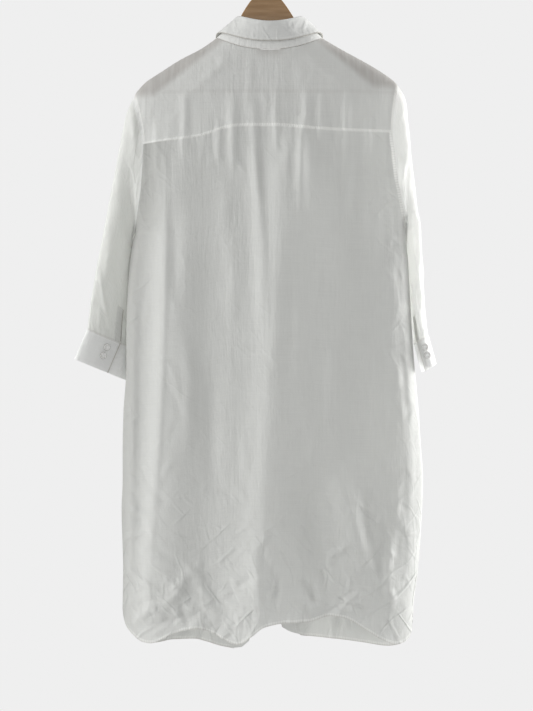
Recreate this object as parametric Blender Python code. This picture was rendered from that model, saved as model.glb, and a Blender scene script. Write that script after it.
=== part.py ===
"""Linen shirt dress on a wooden hanger.

Metres, +Z up. The origin is the inner top of the hanger's hook, where the hook
sits on a rail. The back of the dress faces -Y and its front faces +Y, so the
wearer's left is -X. Sizes in the tables are millimetres.

Every piece of cloth is an open sheet of quads that is worked out from the
garment's outline and depth, and then given a wall. Pieces that are sewn
together share the points and the wall direction along their seam, and each
stops half a seam gap short of it.
"""

import math

import bpy
import numpy as np

# ------------------------------------------------------------------ sizes, mm
WALL = 1.2  # one layer of linen as a wall
BAND_WALL = 1.6  # two layers with a stiffener: bands, cuffs, stand
LEAF_WALL = 1.4  # the turned-down collar
SEAM_GAP = 0.3
CENTRE_FRONT = 6.0  # x of the centre-front line
BAND_WIDTH = 30.0  # button band and buttonhole band
BAND_STEP = 2.0  # how far the overlap lies above the underlap
NECK_TOP = -145.5  # height of the neck seam at the shoulders
NECK_DROP_BACK = 23.7
NECK_DROP_FRONT = 64.0
FORWARD_SEAM = 25.0  # the yoke comes this far over the shoulder
SHOULDER_SLOPE = 0.6
UNDERARM_LEFT = -472.0
UNDERARM_RIGHT = -467.0
HEM_TOP_LEFT = -1114.0  # where the side seams end and the rounded corners start
HEM_TOP_RIGHT = -1118.0
STAND_HEIGHT = 0.70  # the stand's share of the collar's height
ROLL = 2.2  # outside radius of the collar's fold
FOLD_T = 0.96  # where the fold's curve starts, as a share of the height
FALL_OUT = 3.4  # the fall's distance outside the stand
BUTTON_D = 11.5
BUTTON_T = 2.2
LAST_BUTTON = -897.0
FIRST_BUTTON = -265.0
FRONT_BUTTONS = 9
SPREAD_LEFT = 43.0  # how far each front's free edge swings away at the hem
SPREAD_RIGHT = 38.0
HANGER_THICK = 13.0
HANGER_EDGE = 2.2  # radius along its edges
HANGER_TILT = math.radians(1.1)
BAR_D = 10.0
WIRE_D = 3.6
HOOK_R = 20.0  # inside radius of the hook

# The outline at each height, and how far back and front stand off the middle.
BODY_COLUMNS = ("z", "left", "right", "back", "front")
BODY = (
    (-144.6, -83.0, 96.4, 32, 32),
    (-163.2, -109.8, 128.2, 33, 34),
    (-181.4, -144.5, 161.7, 34, 35),
    (-202.0, -177.0, 197.0, 34, 36),
    (-222.0, -206.2, 223.0, 35, 37),
    (-244.0, -223.0, 237.0, 35, 38),
    (-280.0, -231.0, 245.0, 36, 39),
    (-320.0, -236.0, 250.0, 37, 40),
    (-365.0, -236.5, 252.0, 38, 42),
    (-404.0, -233.5, 250.0, 39, 43),
    (-437.0, -228.0, 245.0, 40, 43),
    (-470.0, -221.5, 238.7, 41, 43),
    (-494.0, -226.6, 240.5, 42, 43),
    (-528.0, -231.7, 243.3, 43, 43),
    (-640.0, -236.8, 249.4, 45, 44),
    (-711.0, -236.8, 254.5, 46, 45),
    (-776.0, -241.1, 260.4, 47, 47),
    (-844.0, -242.8, 264.7, 48, 48),
    (-895.0, -242.8, 268.1, 48, 48),
    (-946.0, -244.5, 266.4, 48, 49),
    (-1048.0, -241.9, 259.6, 48, 50),
    (-1116.0, -242.8, 251.6, 48, 50),
    (-1200.0, -243.0, 251.8, 48, 50),
)

# Long soft folds. Height is outward, a trough is negative. Left and right are
# the fold's reach on each side of its line, which runs through three points.
FOLD_COLUMNS = ("x1", "z1", "x2", "z2", "x3", "z3", "height", "left", "right")
BACK_FOLDS = (
    (-160, -300, -167, -700, -196, -1110, 12, 30, 46),
    (37, -300, 20, -660, -16, -1170, 12, 33, 66),
    (-96, -480, -98, -800, -96, -1100, -6, 34, 36),
    (150, -330, 160, -560, 150, -860, -6, 46, 40),
    (120, -860, 150, -960, 176, -1080, 4, 30, 26),
    (214, -520, 226, -800, 222, -1120, 6, 20, 26),
    (66, -900, 80, -1020, 90, -1130, -5, 26, 30),
)
FRONT_FOLDS = (
    (-150, -330, -158, -650, -176, -1130, 10, 30, 22),
    (-84, -420, -88, -760, -92, -1150, -8, 30, 32),
    (96, -360, 104, -700, 128, -1140, -8, 34, 30),
    (168, -340, 176, -680, 190, -1130, 9, 22, 30),
    (52, -700, 62, -900, 74, -1140, 5, 22, 22),
)

# Armholes: the seam's x on the back and on the front at each height.
ARMHOLE_COLUMNS = ("z", "back", "front")
ARMHOLE_LEFT = (
    (-274.5, -214.0, -211.0),
    (-300.0, -208.6, -204.0),
    (-321.0, -206.0, -200.5),
    (-365.0, -208.0, -201.5),
    (-404.0, -211.0, -205.0),
    (-437.0, -216.0, -211.5),
)
ARMHOLE_RIGHT = (
    (-262.0, 219.0, 214.0),
    (-292.0, 215.6, 209.5),
    (-312.0, 215.0, 208.5),
    (-340.0, 218.6, 210.5),
    (-365.0, 221.0, 213.5),
    (-391.0, 225.0, 219.0),
    (-432.0, 233.0, 230.0),
)

YOKE_SEAM_COLUMNS = ("x", "z")
YOKE_SEAM = (
    (-207.0, -326.8),
    (-160.5, -321.2),
    (-124.0, -317.0),
    (-93.0, -309.6),
    (-69.4, -302.0),
    (-42.5, -298.2),
    (4.6, -298.1),
    (34.8, -298.9),
    (75.1, -302.6),
    (142.5, -305.8),
    (216.0, -307.0),
)

# Hem lines between the two side seams, corners included.
HEM_COLUMNS = ("x", "z")
HEM_BACK = (
    (-240.8, -1128.0),
    (-236.0, -1141.0),
    (-225.2, -1154.1),
    (-206.1, -1167.0),
    (-194.0, -1168.6),
    (-165.0, -1156.8),
    (-142.4, -1147.0),
    (-115.0, -1142.2),
    (-87.0, -1149.8),
    (-64.7, -1162.5),
    (-47.0, -1167.9),
    (-24.2, -1155.0),
    (-2.0, -1138.4),
    (34.7, -1131.2),
    (71.5, -1130.6),
    (108.0, -1120.8),
    (130.6, -1124.0),
    (171.4, -1147.0),
    (194.0, -1161.0),
    (222.0, -1171.5),
    (238.0, -1166.0),
    (248.0, -1152.0),
    (251.0, -1136.0),
)
HEM_FRONT_LEFT = (
    (-240.8, -1130.0),
    (-236.0, -1146.0),
    (-225.0, -1162.0),
    (-206.0, -1176.0),
    (-190.0, -1177.6),
    (-160.0, -1173.2),
    (-123.7, -1172.4),
    (-101.0, -1177.4),
    (-78.0, -1185.0),
    (-54.0, -1190.0),
)
HEM_FRONT_RIGHT = (
    (60.0, -1167.0),
    (93.0, -1170.0),
    (130.0, -1173.3),
    (168.0, -1178.0),
    (206.0, -1182.4),
    (228.0, -1179.0),
    (242.0, -1165.0),
    (248.6, -1150.0),
    (251.0, -1136.0),
)

# Sleeves: the outer and the inner fold line, and the half thickness across them.
SLEEVE_COLUMNS = ("v", "ox", "oy", "oz", "ix", "iy", "iz", "half")
SLEEVE_LEFT = (
    (0.00, -222.6, 0, -243.5, -221.5, 0, -472, 18),
    (0.10, -234.0, -1, -268, -228.0, 12, -494, 21),
    (0.25, -250.0, -4, -344, -224.0, 27, -520, 22),
    (0.50, -268.0, -8, -442, -213.0, 41, -574, 21),
    (0.75, -286.5, -10, -540, -211.0, 41, -627, 16),
    (0.90, -296.5, -9, -598, -210.0, 39, -658, 12),
    (1.00, -301.4, -8, -639, -209.0, 37, -679, 10),
)
SLEEVE_RIGHT = (
    (0.00, 225.0, 0, -225, 238.5, 0, -467, 18),
    (0.10, 239.0, 1, -252, 242.5, 5, -487, 21),
    (0.25, 247.0, 5, -330, 239.0, 16, -518, 24),
    (0.50, 260.6, 16, -437, 243.0, 27, -567, 33),
    (0.75, 270.0, 27, -542, 249.5, 33, -615, 41),
    (0.90, 274.5, 32, -606, 253.5, 35, -644, 45),
    (1.00, 279.0, 34, -648, 255.3, 34, -663, 46),
)

# Cuffs: the same columns at the seam and at the lower edge.
CUFF_LEFT = (
    (0.0, -301.4, -8, -639, -209.0, 37, -679, 10),
    (1.0, -323.0, -12, -690, -230.0, 30, -730, 10.5),
)
CUFF_RIGHT = (
    (0.0, 279.0, 34, -648, 255.3, 34, -663, 46),
    (1.0, 292.7, 35, -697, 269.8, 35, -712, 46),
)
CUFF_PROUD = 0.6
SLEEVE_ROOM = 3.2  # between a sleeve and the body that it hangs against
CUFF_UNDER = 2.2  # how far the underlap lies inside the overlap
# Angles round the cuff: 0 is the outer fold line, 90 the middle of the back.
CUFF_LAP_COLUMNS = ("button", "overlap", "underlap")
CUFF_LAP_LEFT = (75.0, 96.0, 66.0)
CUFF_LAP_RIGHT = (92.0, 138.0, 78.0)
CUFF_BUTTON_ROWS = (0.28, 0.56)
SLEEVE_PLACKET_WIDTH = 13.0
SLEEVE_PLACKET_START = 0.80

# Collar: 0 is centre back, 90 the shoulders, 180 centre front.
FALL_COLUMNS = ("angle", "edge")  # the fall's lower edge as a share of the height
FALL = ((0, 0.29), (45, 0.24), (90, 0.12), (120, -0.10), (156, -0.46), (180, -0.50))
FOLD_RING = {"x": 8.6, "half_x": 54.0, "half_y": 43.0, "side_z": -109.0, "back": 14.0, "front": 52.0}

# Hanger: half outline, x outward from its middle.
HANGER_COLUMNS = ("x", "z")
HANGER_TOP = (
    (0, -68.0), (13, -71.2), (24, -78.5), (34.5, -92.0), (43.5, -106.4),
    (51.5, -119.5), (61, -130.0), (73, -140.5), (88, -150.8), (110, -163.2),
    (150, -184.3), (180, -203.4), (203, -220.4), (213, -229.5), (217.5, -238.0),
)
HANGER_UNDER = (
    (217.0, -244.0), (212, -247.5), (184, -247.5), (180, -244.0), (180, -232.0),
    (150, -209.5), (110, -184.5), (80, -170.0), (40, -155.5), (0, -151.0),
)
BAR_Z = -238.5

# ------------------------------------------------------------------ colours
LINEN = (0.86, 0.87, 0.84, 1.0)
PEARL = (0.62, 0.63, 0.62, 1.0)
WOOD = (0.26, 0.16, 0.082, 1.0)
STEEL = (0.62, 0.62, 0.64, 1.0)


# ------------------------------------------------------------------ curves
def column(rows, columns, name):
    return np.array([row[columns.index(name)] for row in rows], float)


def through(xs, ys, x):
    """A smooth curve through the points (xs, ys) that adds no bumps, read at x."""
    xs, ys = np.asarray(xs, float), np.asarray(ys, float)
    step, rise = np.diff(xs), np.diff(ys) / np.diff(xs)
    slope = np.zeros_like(ys)
    slope[0], slope[-1] = rise[0], rise[-1]
    same = rise[:-1] * rise[1:] > 0
    a, b = 2 * step[1:] + step[:-1], step[1:] + 2 * step[:-1]
    safe0, safe1 = np.where(same, rise[:-1], 1.0), np.where(same, rise[1:], 1.0)
    slope[1:-1] = np.where(same, (a + b) / (a / safe0 + b / safe1), 0.0)
    x = np.asarray(x, float)
    i = np.clip(np.searchsorted(xs, x) - 1, 0, len(xs) - 2)
    t = np.clip((x - xs[i]) / step[i], 0.0, 1.0)
    return (
        (1 + 2 * t) * (1 - t) ** 2 * ys[i]
        + t * (1 - t) ** 2 * step[i] * slope[i]
        + t * t * (3 - 2 * t) * ys[i + 1]
        + t * t * (t - 1) * step[i] * slope[i + 1]
    )


def ease(t):
    t = np.clip(t, 0.0, 1.0)
    return t * t * (3 - 2 * t)


BODY_UP = tuple(reversed(BODY))
BODY_Z = column(BODY_UP, BODY_COLUMNS, "z")
BODY_OF = {n: column(BODY_UP, BODY_COLUMNS, n) for n in BODY_COLUMNS}


def body(name, z):
    return through(BODY_Z, BODY_OF[name], z)


def across(x, z):
    """-1 at the left outline, +1 at the right outline."""
    left, right = body("left", z), body("right", z)
    return (x - (left + right) / 2) / ((right - left) / 2)


def roundness(u):
    return np.sqrt(np.clip(1 - np.abs(u) ** 2.4, 0.0, 1.0))


def folds(rows, x, z):
    total = np.zeros(np.broadcast(x, z).shape)
    for x1, z1, x2, z2, x3, z3, height, left, right in rows:
        line = through((z3, z2, z1), (x3, x2, x1), z)
        off = x - line
        reach = np.where(off < 0, left, right)
        along = ease((z1 + 40 - z) / 130) * ease((z - z3 + 70) / 120)
        total = total + height * np.exp(-((off / reach) ** 2)) * along
    return total


def back_y(x, z):
    return -(body("back", z) + folds(BACK_FOLDS, x, z)) * roundness(across(x, z))


def front_y(x, z):
    return (body("front", z) + folds(FRONT_FOLDS, x, z)) * roundness(across(x, z))


# ------------------------------------------------------------------ neck and shoulders
NECK_LEFT, NECK_RIGHT = float(body("left", NECK_TOP)), float(body("right", NECK_TOP))
NECK_X, NECK_HALF = (NECK_LEFT + NECK_RIGHT) / 2, (NECK_RIGHT - NECK_LEFT) / 2
SHOULDER_Z = np.linspace(NECK_TOP, -244.0, 200)
SHOULDER_LEFT, SHOULDER_RIGHT = body("left", SHOULDER_Z), body("right", SHOULDER_Z)


def shoulder(x):
    """Height of the shoulder line over x, carried on over the neck opening."""
    x = np.asarray(x, float)
    inside = NECK_TOP + SHOULDER_SLOPE * NECK_HALF * (1 - ((x - NECK_X) / NECK_HALF) ** 2) / 2
    left = np.interp(x, SHOULDER_LEFT[::-1], SHOULDER_Z[::-1])
    right = np.interp(x, SHOULDER_RIGHT, SHOULDER_Z)
    return np.where(x < NECK_LEFT, left, np.where(x > NECK_RIGHT, right, inside))


def over_shoulder(x, w):
    """A point of the upper body. w is its height above the shoulder line if the
    cloth were unfolded over it: below 0 on the back, above 0 on the front."""
    z = shoulder(x) - np.abs(w)
    y = np.where(w > 0, front_y(x, z), back_y(x, z))
    return np.stack(np.broadcast_arrays(x, y, z), -1)


def neck_point(angle):
    """The neck seam. 0 is centre back, 90 a shoulder, 180 centre front."""
    angle = np.asarray(angle, float)
    s, c = np.sin(np.radians(angle)), np.cos(np.radians(angle))
    behind = c >= 0
    power = np.where(behind, 1 / 1.1, 1 / 1.3)
    x = NECK_X + NECK_HALF * np.sign(s) * np.abs(s) ** power
    drop = np.where(behind, NECK_DROP_BACK, NECK_DROP_FRONT)
    z = NECK_TOP - drop * c * c
    y = np.where(behind, back_y(x, z), front_y(x, z))
    return np.stack(np.broadcast_arrays(x, y, z), -1)


FORWARD_ANGLE = 90 + math.degrees(math.asin(math.sqrt(18.0 / NECK_DROP_FRONT)))


def front_neck_z(x):
    """Height of the front neck seam over x."""
    share = np.clip(np.abs(x - NECK_X) / NECK_HALF, 0, 1) ** 1.3
    return NECK_TOP - NECK_DROP_FRONT * (1 - share * share)


# ------------------------------------------------------------------ armholes
def armhole_x(side, face, z):
    rows = ARMHOLE_LEFT if side < 0 else ARMHOLE_RIGHT
    top = TIP[side]
    under = UNDERARM_LEFT if side < 0 else UNDERARM_RIGHT
    zs = [under] + [r[0] for r in reversed(rows)] + [top[1]]
    k = 1 if face == "back" else 2
    xs = [float(body("left" if side < 0 else "right", under))]
    xs += [r[k] for r in reversed(rows)] + [top[0]]
    return through(zs, xs, z)


def tip_of(side):
    """Where the armhole crosses the shoulder line: x and z."""
    x = -222.6 if side < 0 else 225.0
    return (x, float(shoulder(x)))


TIP = {-1: tip_of(-1), 1: tip_of(1)}


def spaced(n, bias=0.0):
    """n + 1 shares from 0 to 1, closer together at both ends as bias grows."""
    s = np.linspace(0, 1, n + 1)
    return bias * (1 - np.cos(np.pi * s)) / 2 + (1 - bias) * s


def polyline_at(points, shares):
    """Points at shares of the length of a line, with its corners kept soft."""
    points = np.asarray(points, float)
    run = np.concatenate([[0], np.cumsum(np.linalg.norm(np.diff(points, axis=0), axis=1))])
    return np.stack([through(run, points[:, k], np.asarray(shares) * run[-1]) for k in range(points.shape[1])], -1)


def coons(top, bottom, left, right):
    """The (x, z) grid between four edges. Rows run from top to bottom."""
    m, n = len(left), len(top)
    v, u = np.linspace(0, 1, m)[:, None, None], None
    # Shares follow the edges' own spacing, so a fine edge keeps its spacing.
    su_top = share_along(top)
    su_bottom = share_along(bottom)
    sv_left = share_along(left)
    sv_right = share_along(right)
    v0 = np.linspace(0, 1, m)[:, None]
    u = (1 - v0) * su_top[None] + v0 * su_bottom[None]
    u0 = np.linspace(0, 1, n)[None]
    v = (1 - u0) * sv_left[:, None] + u0 * sv_right[:, None]
    u, v = u[..., None], v[..., None]
    edges = (1 - v) * top[None] + v * bottom[None] + (1 - u) * left[:, None] + u * right[:, None]
    corners = (1 - u) * (1 - v) * top[0] + u * (1 - v) * top[-1] + (1 - u) * v * bottom[0] + u * v * bottom[-1]
    return edges - corners


def share_along(points):
    run = np.concatenate([[0], np.cumsum(np.linalg.norm(np.diff(points, axis=0), axis=1))])
    return run / run[-1]


# ------------------------------------------------------------------ panels as grids of points
YOKE_ROWS = 6
YOKE_SEAM_SEGMENTS = 20
ARC_FRONT, ARC_BACK, ARC_YOKE = 3, 2, 3  # armhole steps: forward of the tip, behind it, down to the yoke seam
ARM_BACK_ROWS = 5
SIDE_ROWS = 14
NECK_COLUMNS = 4
ARM_FRONT_ROWS = ARM_BACK_ROWS + 2


def yoke_edge(side):
    """The armhole edge of the yoke as (x, w): from the forward seam over the tip to the yoke seam."""
    tip_x, tip_z = TIP[side]
    seam_z = YOKE_SEAM[0][1] if side < 0 else YOKE_SEAM[-1][1]
    t = np.linspace(1, 0, ARC_FRONT + 1)[:-1]
    z = tip_z - FORWARD_SEAM * t * t
    x = armhole_x(side, "front", z)
    front = np.stack([x, shoulder(x) - z], -1)
    drop = 25.0
    t = np.linspace(0, 1, ARC_BACK + 1)
    z = tip_z - drop * t * t
    x = armhole_x(side, "back", z)
    back = np.stack([x, z - shoulder(x)], -1)
    z = np.linspace(tip_z - drop, seam_z, ARC_YOKE + 1)[1:]
    x = armhole_x(side, "back", z)
    down = np.stack([x, z - shoulder(x)], -1)
    back[0, 1] = 0.0
    return np.concatenate([front, back, down])


def yoke_grid():
    left, right = yoke_edge(-1), yoke_edge(1)[::-1]
    seam_x = left[-1, 0] + (right[0, 0] - left[-1, 0]) * spaced(YOKE_SEAM_SEGMENTS, 0.35)
    seam_z = through(column(YOKE_SEAM, YOKE_SEAM_COLUMNS, "x"), column(YOKE_SEAM, YOKE_SEAM_COLUMNS, "z"), seam_x)
    seam_z[0], seam_z[-1] = YOKE_SEAM[0][1], YOKE_SEAM[-1][1]
    seam = np.stack([seam_x, seam_z - shoulder(seam_x)], -1)
    outer = np.concatenate([left, seam[1:-1], right])
    # Angles of the neck seam that go with the points of the outer edge.
    step = ARC_FRONT
    side_front = FORWARD_ANGLE + (90 - FORWARD_ANGLE) * np.linspace(0, 1, step + 1)
    side_back = 90 - 34 * np.linspace(0, 1, ARC_BACK + ARC_YOKE + 1)[1:]
    middle = np.linspace(56, -56, YOKE_SEAM_SEGMENTS + 1)[1:]
    other = np.concatenate([-side_back[:-1][::-1], -side_front[::-1]])
    angles = np.concatenate([side_front, side_back, middle, other])
    p = neck_point(-angles)
    w = np.where(np.abs(angles) > 90.001, shoulder(p[:, 0]) - p[:, 2], p[:, 2] - shoulder(p[:, 0]))
    w[np.isclose(np.abs(angles), 90)] = 0.0
    inner = np.stack([p[:, 0], w], -1)
    r = np.array([0, 0.2, 0.4, 0.58, 0.74, 0.88, 1.0])[:, None, None]
    grid = (1 - r) * inner[None] + r * outer[None]
    return over_shoulder(grid[..., 0], grid[..., 1])


def within(xz, margin=2.4):
    """Keeps the points between a panel's side seams off the rounded sides themselves."""
    xz = np.array(xz, float)
    z = xz[:, 1:-1, 1]
    low = z < UNDERARM_LEFT - 10
    x = xz[:, 1:-1, 0]
    kept = np.clip(x, body("left", z) + margin, body("right", z) - margin)
    xz[:, 1:-1, 0] = np.where(low, kept, x)
    return xz


def on_back(xz):
    xz = within(xz)
    return np.stack([xz[..., 0], back_y(xz[..., 0], xz[..., 1]), xz[..., 1]], -1)


def on_front(xz):
    xz = within(xz)
    return np.stack([xz[..., 0], front_y(xz[..., 0], xz[..., 1]), xz[..., 1]], -1)


def side_edge(side, face):
    """Armhole and side seam as (x, z), from the top of the panel to the hem's corner."""
    tip_z = TIP[side][1]
    under, end = (UNDERARM_LEFT, HEM_TOP_LEFT) if side < 0 else (UNDERARM_RIGHT, HEM_TOP_RIGHT)
    if face == "back":
        start, rows = (YOKE_SEAM[0][1] if side < 0 else YOKE_SEAM[-1][1]), ARM_BACK_ROWS
    else:
        start, rows = tip_z - FORWARD_SEAM, ARM_FRONT_ROWS
    z = np.linspace(start, under, rows + 1)
    arm = np.stack([armhole_x(side, face, z), z], -1)
    z = np.linspace(under, end, SIDE_ROWS + 1)[1:]
    seam = np.stack([body("left" if side < 0 else "right", z), z], -1)
    return np.concatenate([arm, seam])


def hem_line(rows, start, end, n, bias):
    points = ([start] if start is not None else []) + [r for r in rows] + ([end] if end is not None else [])
    return polyline_at(points, spaced(n, bias))


def back_grid(yoke):
    top = np.stack([yoke[-1, ARC_FRONT + ARC_BACK + ARC_YOKE :][: YOKE_SEAM_SEGMENTS + 1, k] for k in (0, 2)], -1)
    left, right = side_edge(-1, "back"), side_edge(1, "back")
    bottom = hem_line(HEM_BACK, left[-1], right[-1], YOKE_SEAM_SEGMENTS, 0.35)
    return on_back(coons(top, bottom, left, right))


def band_shift(side, z):
    """How far a front has swung away from the centre line below the last button."""
    spread = SPREAD_LEFT if side < 0 else SPREAD_RIGHT
    end = -1165.0
    t = np.clip((LAST_BUTTON - 12 - z) / (LAST_BUTTON - 12 - end), 0, 1.1)
    return side * spread * t ** 1.5


def band_seam_x(side, z):
    return CENTRE_FRONT + side * BAND_WIDTH / 2 + band_shift(side, z)


def front_grid(side, yoke):
    """Rows from the neck and forward seam to the hem; columns from the side to the band."""
    forward = yoke[:, 0] if side < 0 else yoke[:, -1]  # neck to armhole
    seam = forward[::-1][:, [0, 2]]
    band_x = CENTRE_FRONT + side * BAND_WIDTH / 2
    x = np.linspace(seam[-1, 0], band_x, NECK_COLUMNS + 1)[1:]
    top = np.concatenate([seam, np.stack([x, front_neck_z(x)], -1)])
    edge = side_edge(side, "front")
    edge[0] = seam[0]
    rows = HEM_FRONT_LEFT if side < 0 else HEM_FRONT_RIGHT[::-1]
    hem_z = -1189.0 if side < 0 else -1165.5
    hem_end = (float(band_seam_x(side, hem_z)), hem_z)
    n = len(top) - 1
    bottom = hem_line(rows, edge[-1], hem_end, n, 0.25)
    m = len(edge) - 1
    z = top[-1, 1] + (bottom[-1, 1] - top[-1, 1]) * np.linspace(0, 1, m + 1)
    inner = np.stack([band_seam_x(side, z), z], -1)
    return on_front(coons(top, bottom, edge, inner))


def band_grid(side, front):
    """The band sewn to a front's edge. The wearer's right (+X) laps over the left."""
    seam = front[:, -1]
    f = np.linspace(0, 1, 3)[None, :, None]
    x = seam[:, None, 0:1] - side * BAND_WIDTH * f
    z = np.repeat(seam[:, None, 2:3], 3, axis=1).copy()
    z[0, :, 0] = front_neck_z(x[0, :, 0])
    lift = BAND_STEP * f * (1 if side > 0 else -1)
    low = (z < LAST_BUTTON - 40) * 1.0
    y = front_y(x, z) + lift
    if side > 0:
        z[-1, :, 0] += np.array([0, 4.0, 12.0])
    else:
        z[-1, :, 0] += np.array([0, 1.0, 12.0])
    return np.concatenate([x, y, z], -1)


# ------------------------------------------------------------------ sleeves
def sleeve_rows(side):
    return SLEEVE_LEFT if side < 0 else SLEEVE_RIGHT


def section(rows, v, theta, grow=0.0):
    """A point round a flattened tube. theta 0 is the outer fold line, 90 the back."""
    v, theta = np.broadcast_arrays(np.asarray(v, float), np.radians(theta))
    at = {n: through(column(rows, SLEEVE_COLUMNS, "v"), column(rows, SLEEVE_COLUMNS, n), v) for n in SLEEVE_COLUMNS[1:]}
    outer = np.stack([at["ox"], at["oy"], at["oz"]], -1)
    inner = np.stack([at["ix"], at["iy"], at["iz"]], -1)
    middle, arm = (outer + inner) / 2, (outer - inner) / 2
    length = np.linalg.norm(arm, axis=-1, keepdims=True)
    arm_unit = arm / length
    back = np.array([0.0, -1.0, 0.0]) - arm_unit * (-arm_unit[..., 1:2])
    back /= np.linalg.norm(back, axis=-1, keepdims=True)
    half = at["half"][..., None]
    c, s = np.cos(theta)[..., None], np.sin(theta)[..., None]
    return middle + arm_unit * (length + grow) * c + back * (half + grow) * s


def clear_of_body(p, side, v):
    """Moves the points of a sleeve that would pass through the side of the body off it."""
    x, y, z = p[..., 0], p[..., 1], p[..., 2]
    under = UNDERARM_LEFT if side < 0 else UNDERARM_RIGHT
    outline = body("left" if side < 0 else "right", z)
    edge = np.where(z > under, armhole_x(side, "front", z), outline)
    room = SLEEVE_ROOM * ease(v / 0.1)
    inside = (x - edge) * (-side)
    on = front_y(edge + np.maximum(inside, 0) * (-side), z)
    limit = np.where(inside > 0, on + room, on + room + 1.3 * inside)
    fade = np.where(y > 0, 1.0, ease((under + 8 - z) / 22))
    q = p.copy()
    q[..., 1] = y + (np.maximum(y, limit) - y) * fade
    # The back half passes outside the rounded side of the back.
    depth = np.clip(-q[..., 1] / body("back", z), 0, 0.999)
    middle = (body("left", z) + body("right", z)) / 2
    out = np.abs(outline - middle) * (1 - depth ** 2) ** (1 / 2.4) + room * 0.7
    behind = ease(-q[..., 1] / 3) * ease((under + 26 - z) / 20)
    short = np.maximum(out - (x - middle) * side, 0) * side
    q[..., 0] = x + short * behind
    return q


def armhole_loop(side, yoke, back, front):
    """The armhole from the tip, down the back, round the underarm and up the front."""
    outer = yoke[-1] if side < 0 else yoke[-1][::-1]
    over = outer[: ARC_FRONT + ARC_BACK + ARC_YOKE + 1]
    back_edge = (back[:, 0] if side < 0 else back[:, -1])[: ARM_BACK_ROWS + 1]
    front_edge = front[: ARM_FRONT_ROWS + 1, 0]
    return np.concatenate([over[ARC_FRONT:], back_edge[1:], front_edge[:-1][::-1], over[1:ARC_FRONT]])


SLEEVE_V = np.array([0, 0.05, 0.12, 0.22, 0.33, 0.45, 0.57, 0.69, 0.8, 0.9, 1.0])


def sleeve_grid(side, loop):
    """Rows from armhole to cuff, columns round the sleeve."""
    rows = sleeve_rows(side)
    n = len(loop)
    top, bottom = rows[0][3], rows[0][6]
    share = np.clip((loop[:, 2] - (top + bottom) / 2) / ((top - bottom) / 2), -1, 1)
    first = np.degrees(np.arccos(share))
    under = int(np.argmin(loop[:, 2]))
    first[under:] = 360 - first[under:]
    first[0], first[under] = 0.0, 180.0
    last = np.interp(np.arange(n), [0, under, n], [0, 180, 360])
    v = SLEEVE_V[:, None]
    theta = first[None] + (last - first)[None] * ease(v / 0.6)
    grid = section(rows, np.repeat(v, n, axis=1), theta)
    fade = 1 - ease(v / 0.3)
    grid = grid + (loop - grid[0])[None] * fade[..., None]
    body_side = clear_of_body(grid, side, np.repeat(v, n, axis=1))
    body_side[0] = loop
    return body_side


def cuff_grid(side, columns=28, rows=2):
    """Columns from the underlap's end round the wrist to the overlap's edge."""
    table = CUFF_LEFT if side < 0 else CUFF_RIGHT
    _, overlap, underlap = CUFF_LAP_LEFT if side < 0 else CUFF_LAP_RIGHT
    theta = underlap + (overlap + 360 - underlap) * np.linspace(0, 1, columns + 1)
    proud = CUFF_PROUD - CUFF_UNDER * (1 - ease((theta - overlap - 3) / 16))
    start = 0.0095
    q = np.linspace(start, 1, rows + 1)
    return section(table, np.repeat(q[:, None], columns + 1, axis=1), np.repeat(theta[None], rows + 1, axis=0), np.repeat(proud[None], rows + 1, axis=0)[..., None])


def normals_of(grid, wrap=False):
    """Unit normals of a grid from its own lines."""
    if wrap:
        du = np.roll(grid, -1, 1) - np.roll(grid, 1, 1)
    else:
        du = np.gradient(grid, axis=1)
    dv = np.gradient(grid, axis=0)
    n = np.cross(du, dv)
    length = np.linalg.norm(n, axis=-1, keepdims=True)
    return n / np.maximum(length, 1e-12)


def sleeve_placket_grid(side, rows=5):
    """The strip over the sleeve's opening, up from the cuff."""
    overlap = (CUFF_LAP_LEFT if side < 0 else CUFF_LAP_RIGHT)[1]
    table = sleeve_rows(side)
    v = np.linspace(SLEEVE_PLACKET_START, 0.992, rows + 1)
    edge = section(table, v, np.full_like(v, overlap))
    # Step back round the sleeve until the strip has its width.
    fine = np.linspace(overlap, overlap - 80, 161)
    run = section(table, np.repeat(v[:, None], 161, 1), np.repeat(fine[None], rows + 1, 0))
    length = np.concatenate([np.zeros((rows + 1, 1)), np.cumsum(np.linalg.norm(np.diff(run, axis=1), axis=-1), axis=1)], axis=1)
    shares = np.array([0, 0.5, 1.0]) * SLEEVE_PLACKET_WIDTH
    theta = np.stack([np.interp(shares, length[i], fine) for i in range(rows + 1)])
    grid = section(table, np.repeat(v[:, None], 3, 1), theta)
    return grid


# ------------------------------------------------------------------ collar
def fold_point(angle):
    angle = np.asarray(angle, float)
    s, c = np.sin(np.radians(angle)), np.cos(np.radians(angle))
    r = FOLD_RING
    z = r["side_z"] - np.where(c >= 0, r["back"], r["front"]) * c * c
    return np.stack(np.broadcast_arrays(r["x"] + r["half_x"] * s, -r["half_y"] * c, z), -1)


def outward(angle):
    s, c = np.sin(np.radians(angle)), np.cos(np.radians(angle))
    n = np.stack(np.broadcast_arrays(0.75 * s, -c, 0.7 * s * s), -1)
    return n / np.linalg.norm(n, axis=-1, keepdims=True)


def collar_point(angle, t, out):
    """angle round the neck, t up from the neck seam to the fold, out from the stand."""
    angle, t, out = np.broadcast_arrays(np.asarray(angle, float), t, out)
    base, top = neck_point(angle), fold_point(angle)
    tt = t[..., None]
    up = base + (top - base) * tt
    z = base[..., 2] + 47.0 * t
    x = base[..., 0]
    below = np.stack([x, np.where(np.abs(angle) > 90, front_y(x, z), back_y(x, z)), z], -1)
    p = np.where(tt >= 0, up, below)
    return p + outward(angle) * out[..., None]


def lap_out(angle):
    """The stand's ends lap at the front as the bands do."""
    angle = np.asarray(angle, float)
    past = np.clip((np.abs(angle) - (180 - LAP_ANGLE)) / (2 * LAP_ANGLE), 0, 1)
    return BAND_STEP * past * np.sign(angle)


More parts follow.
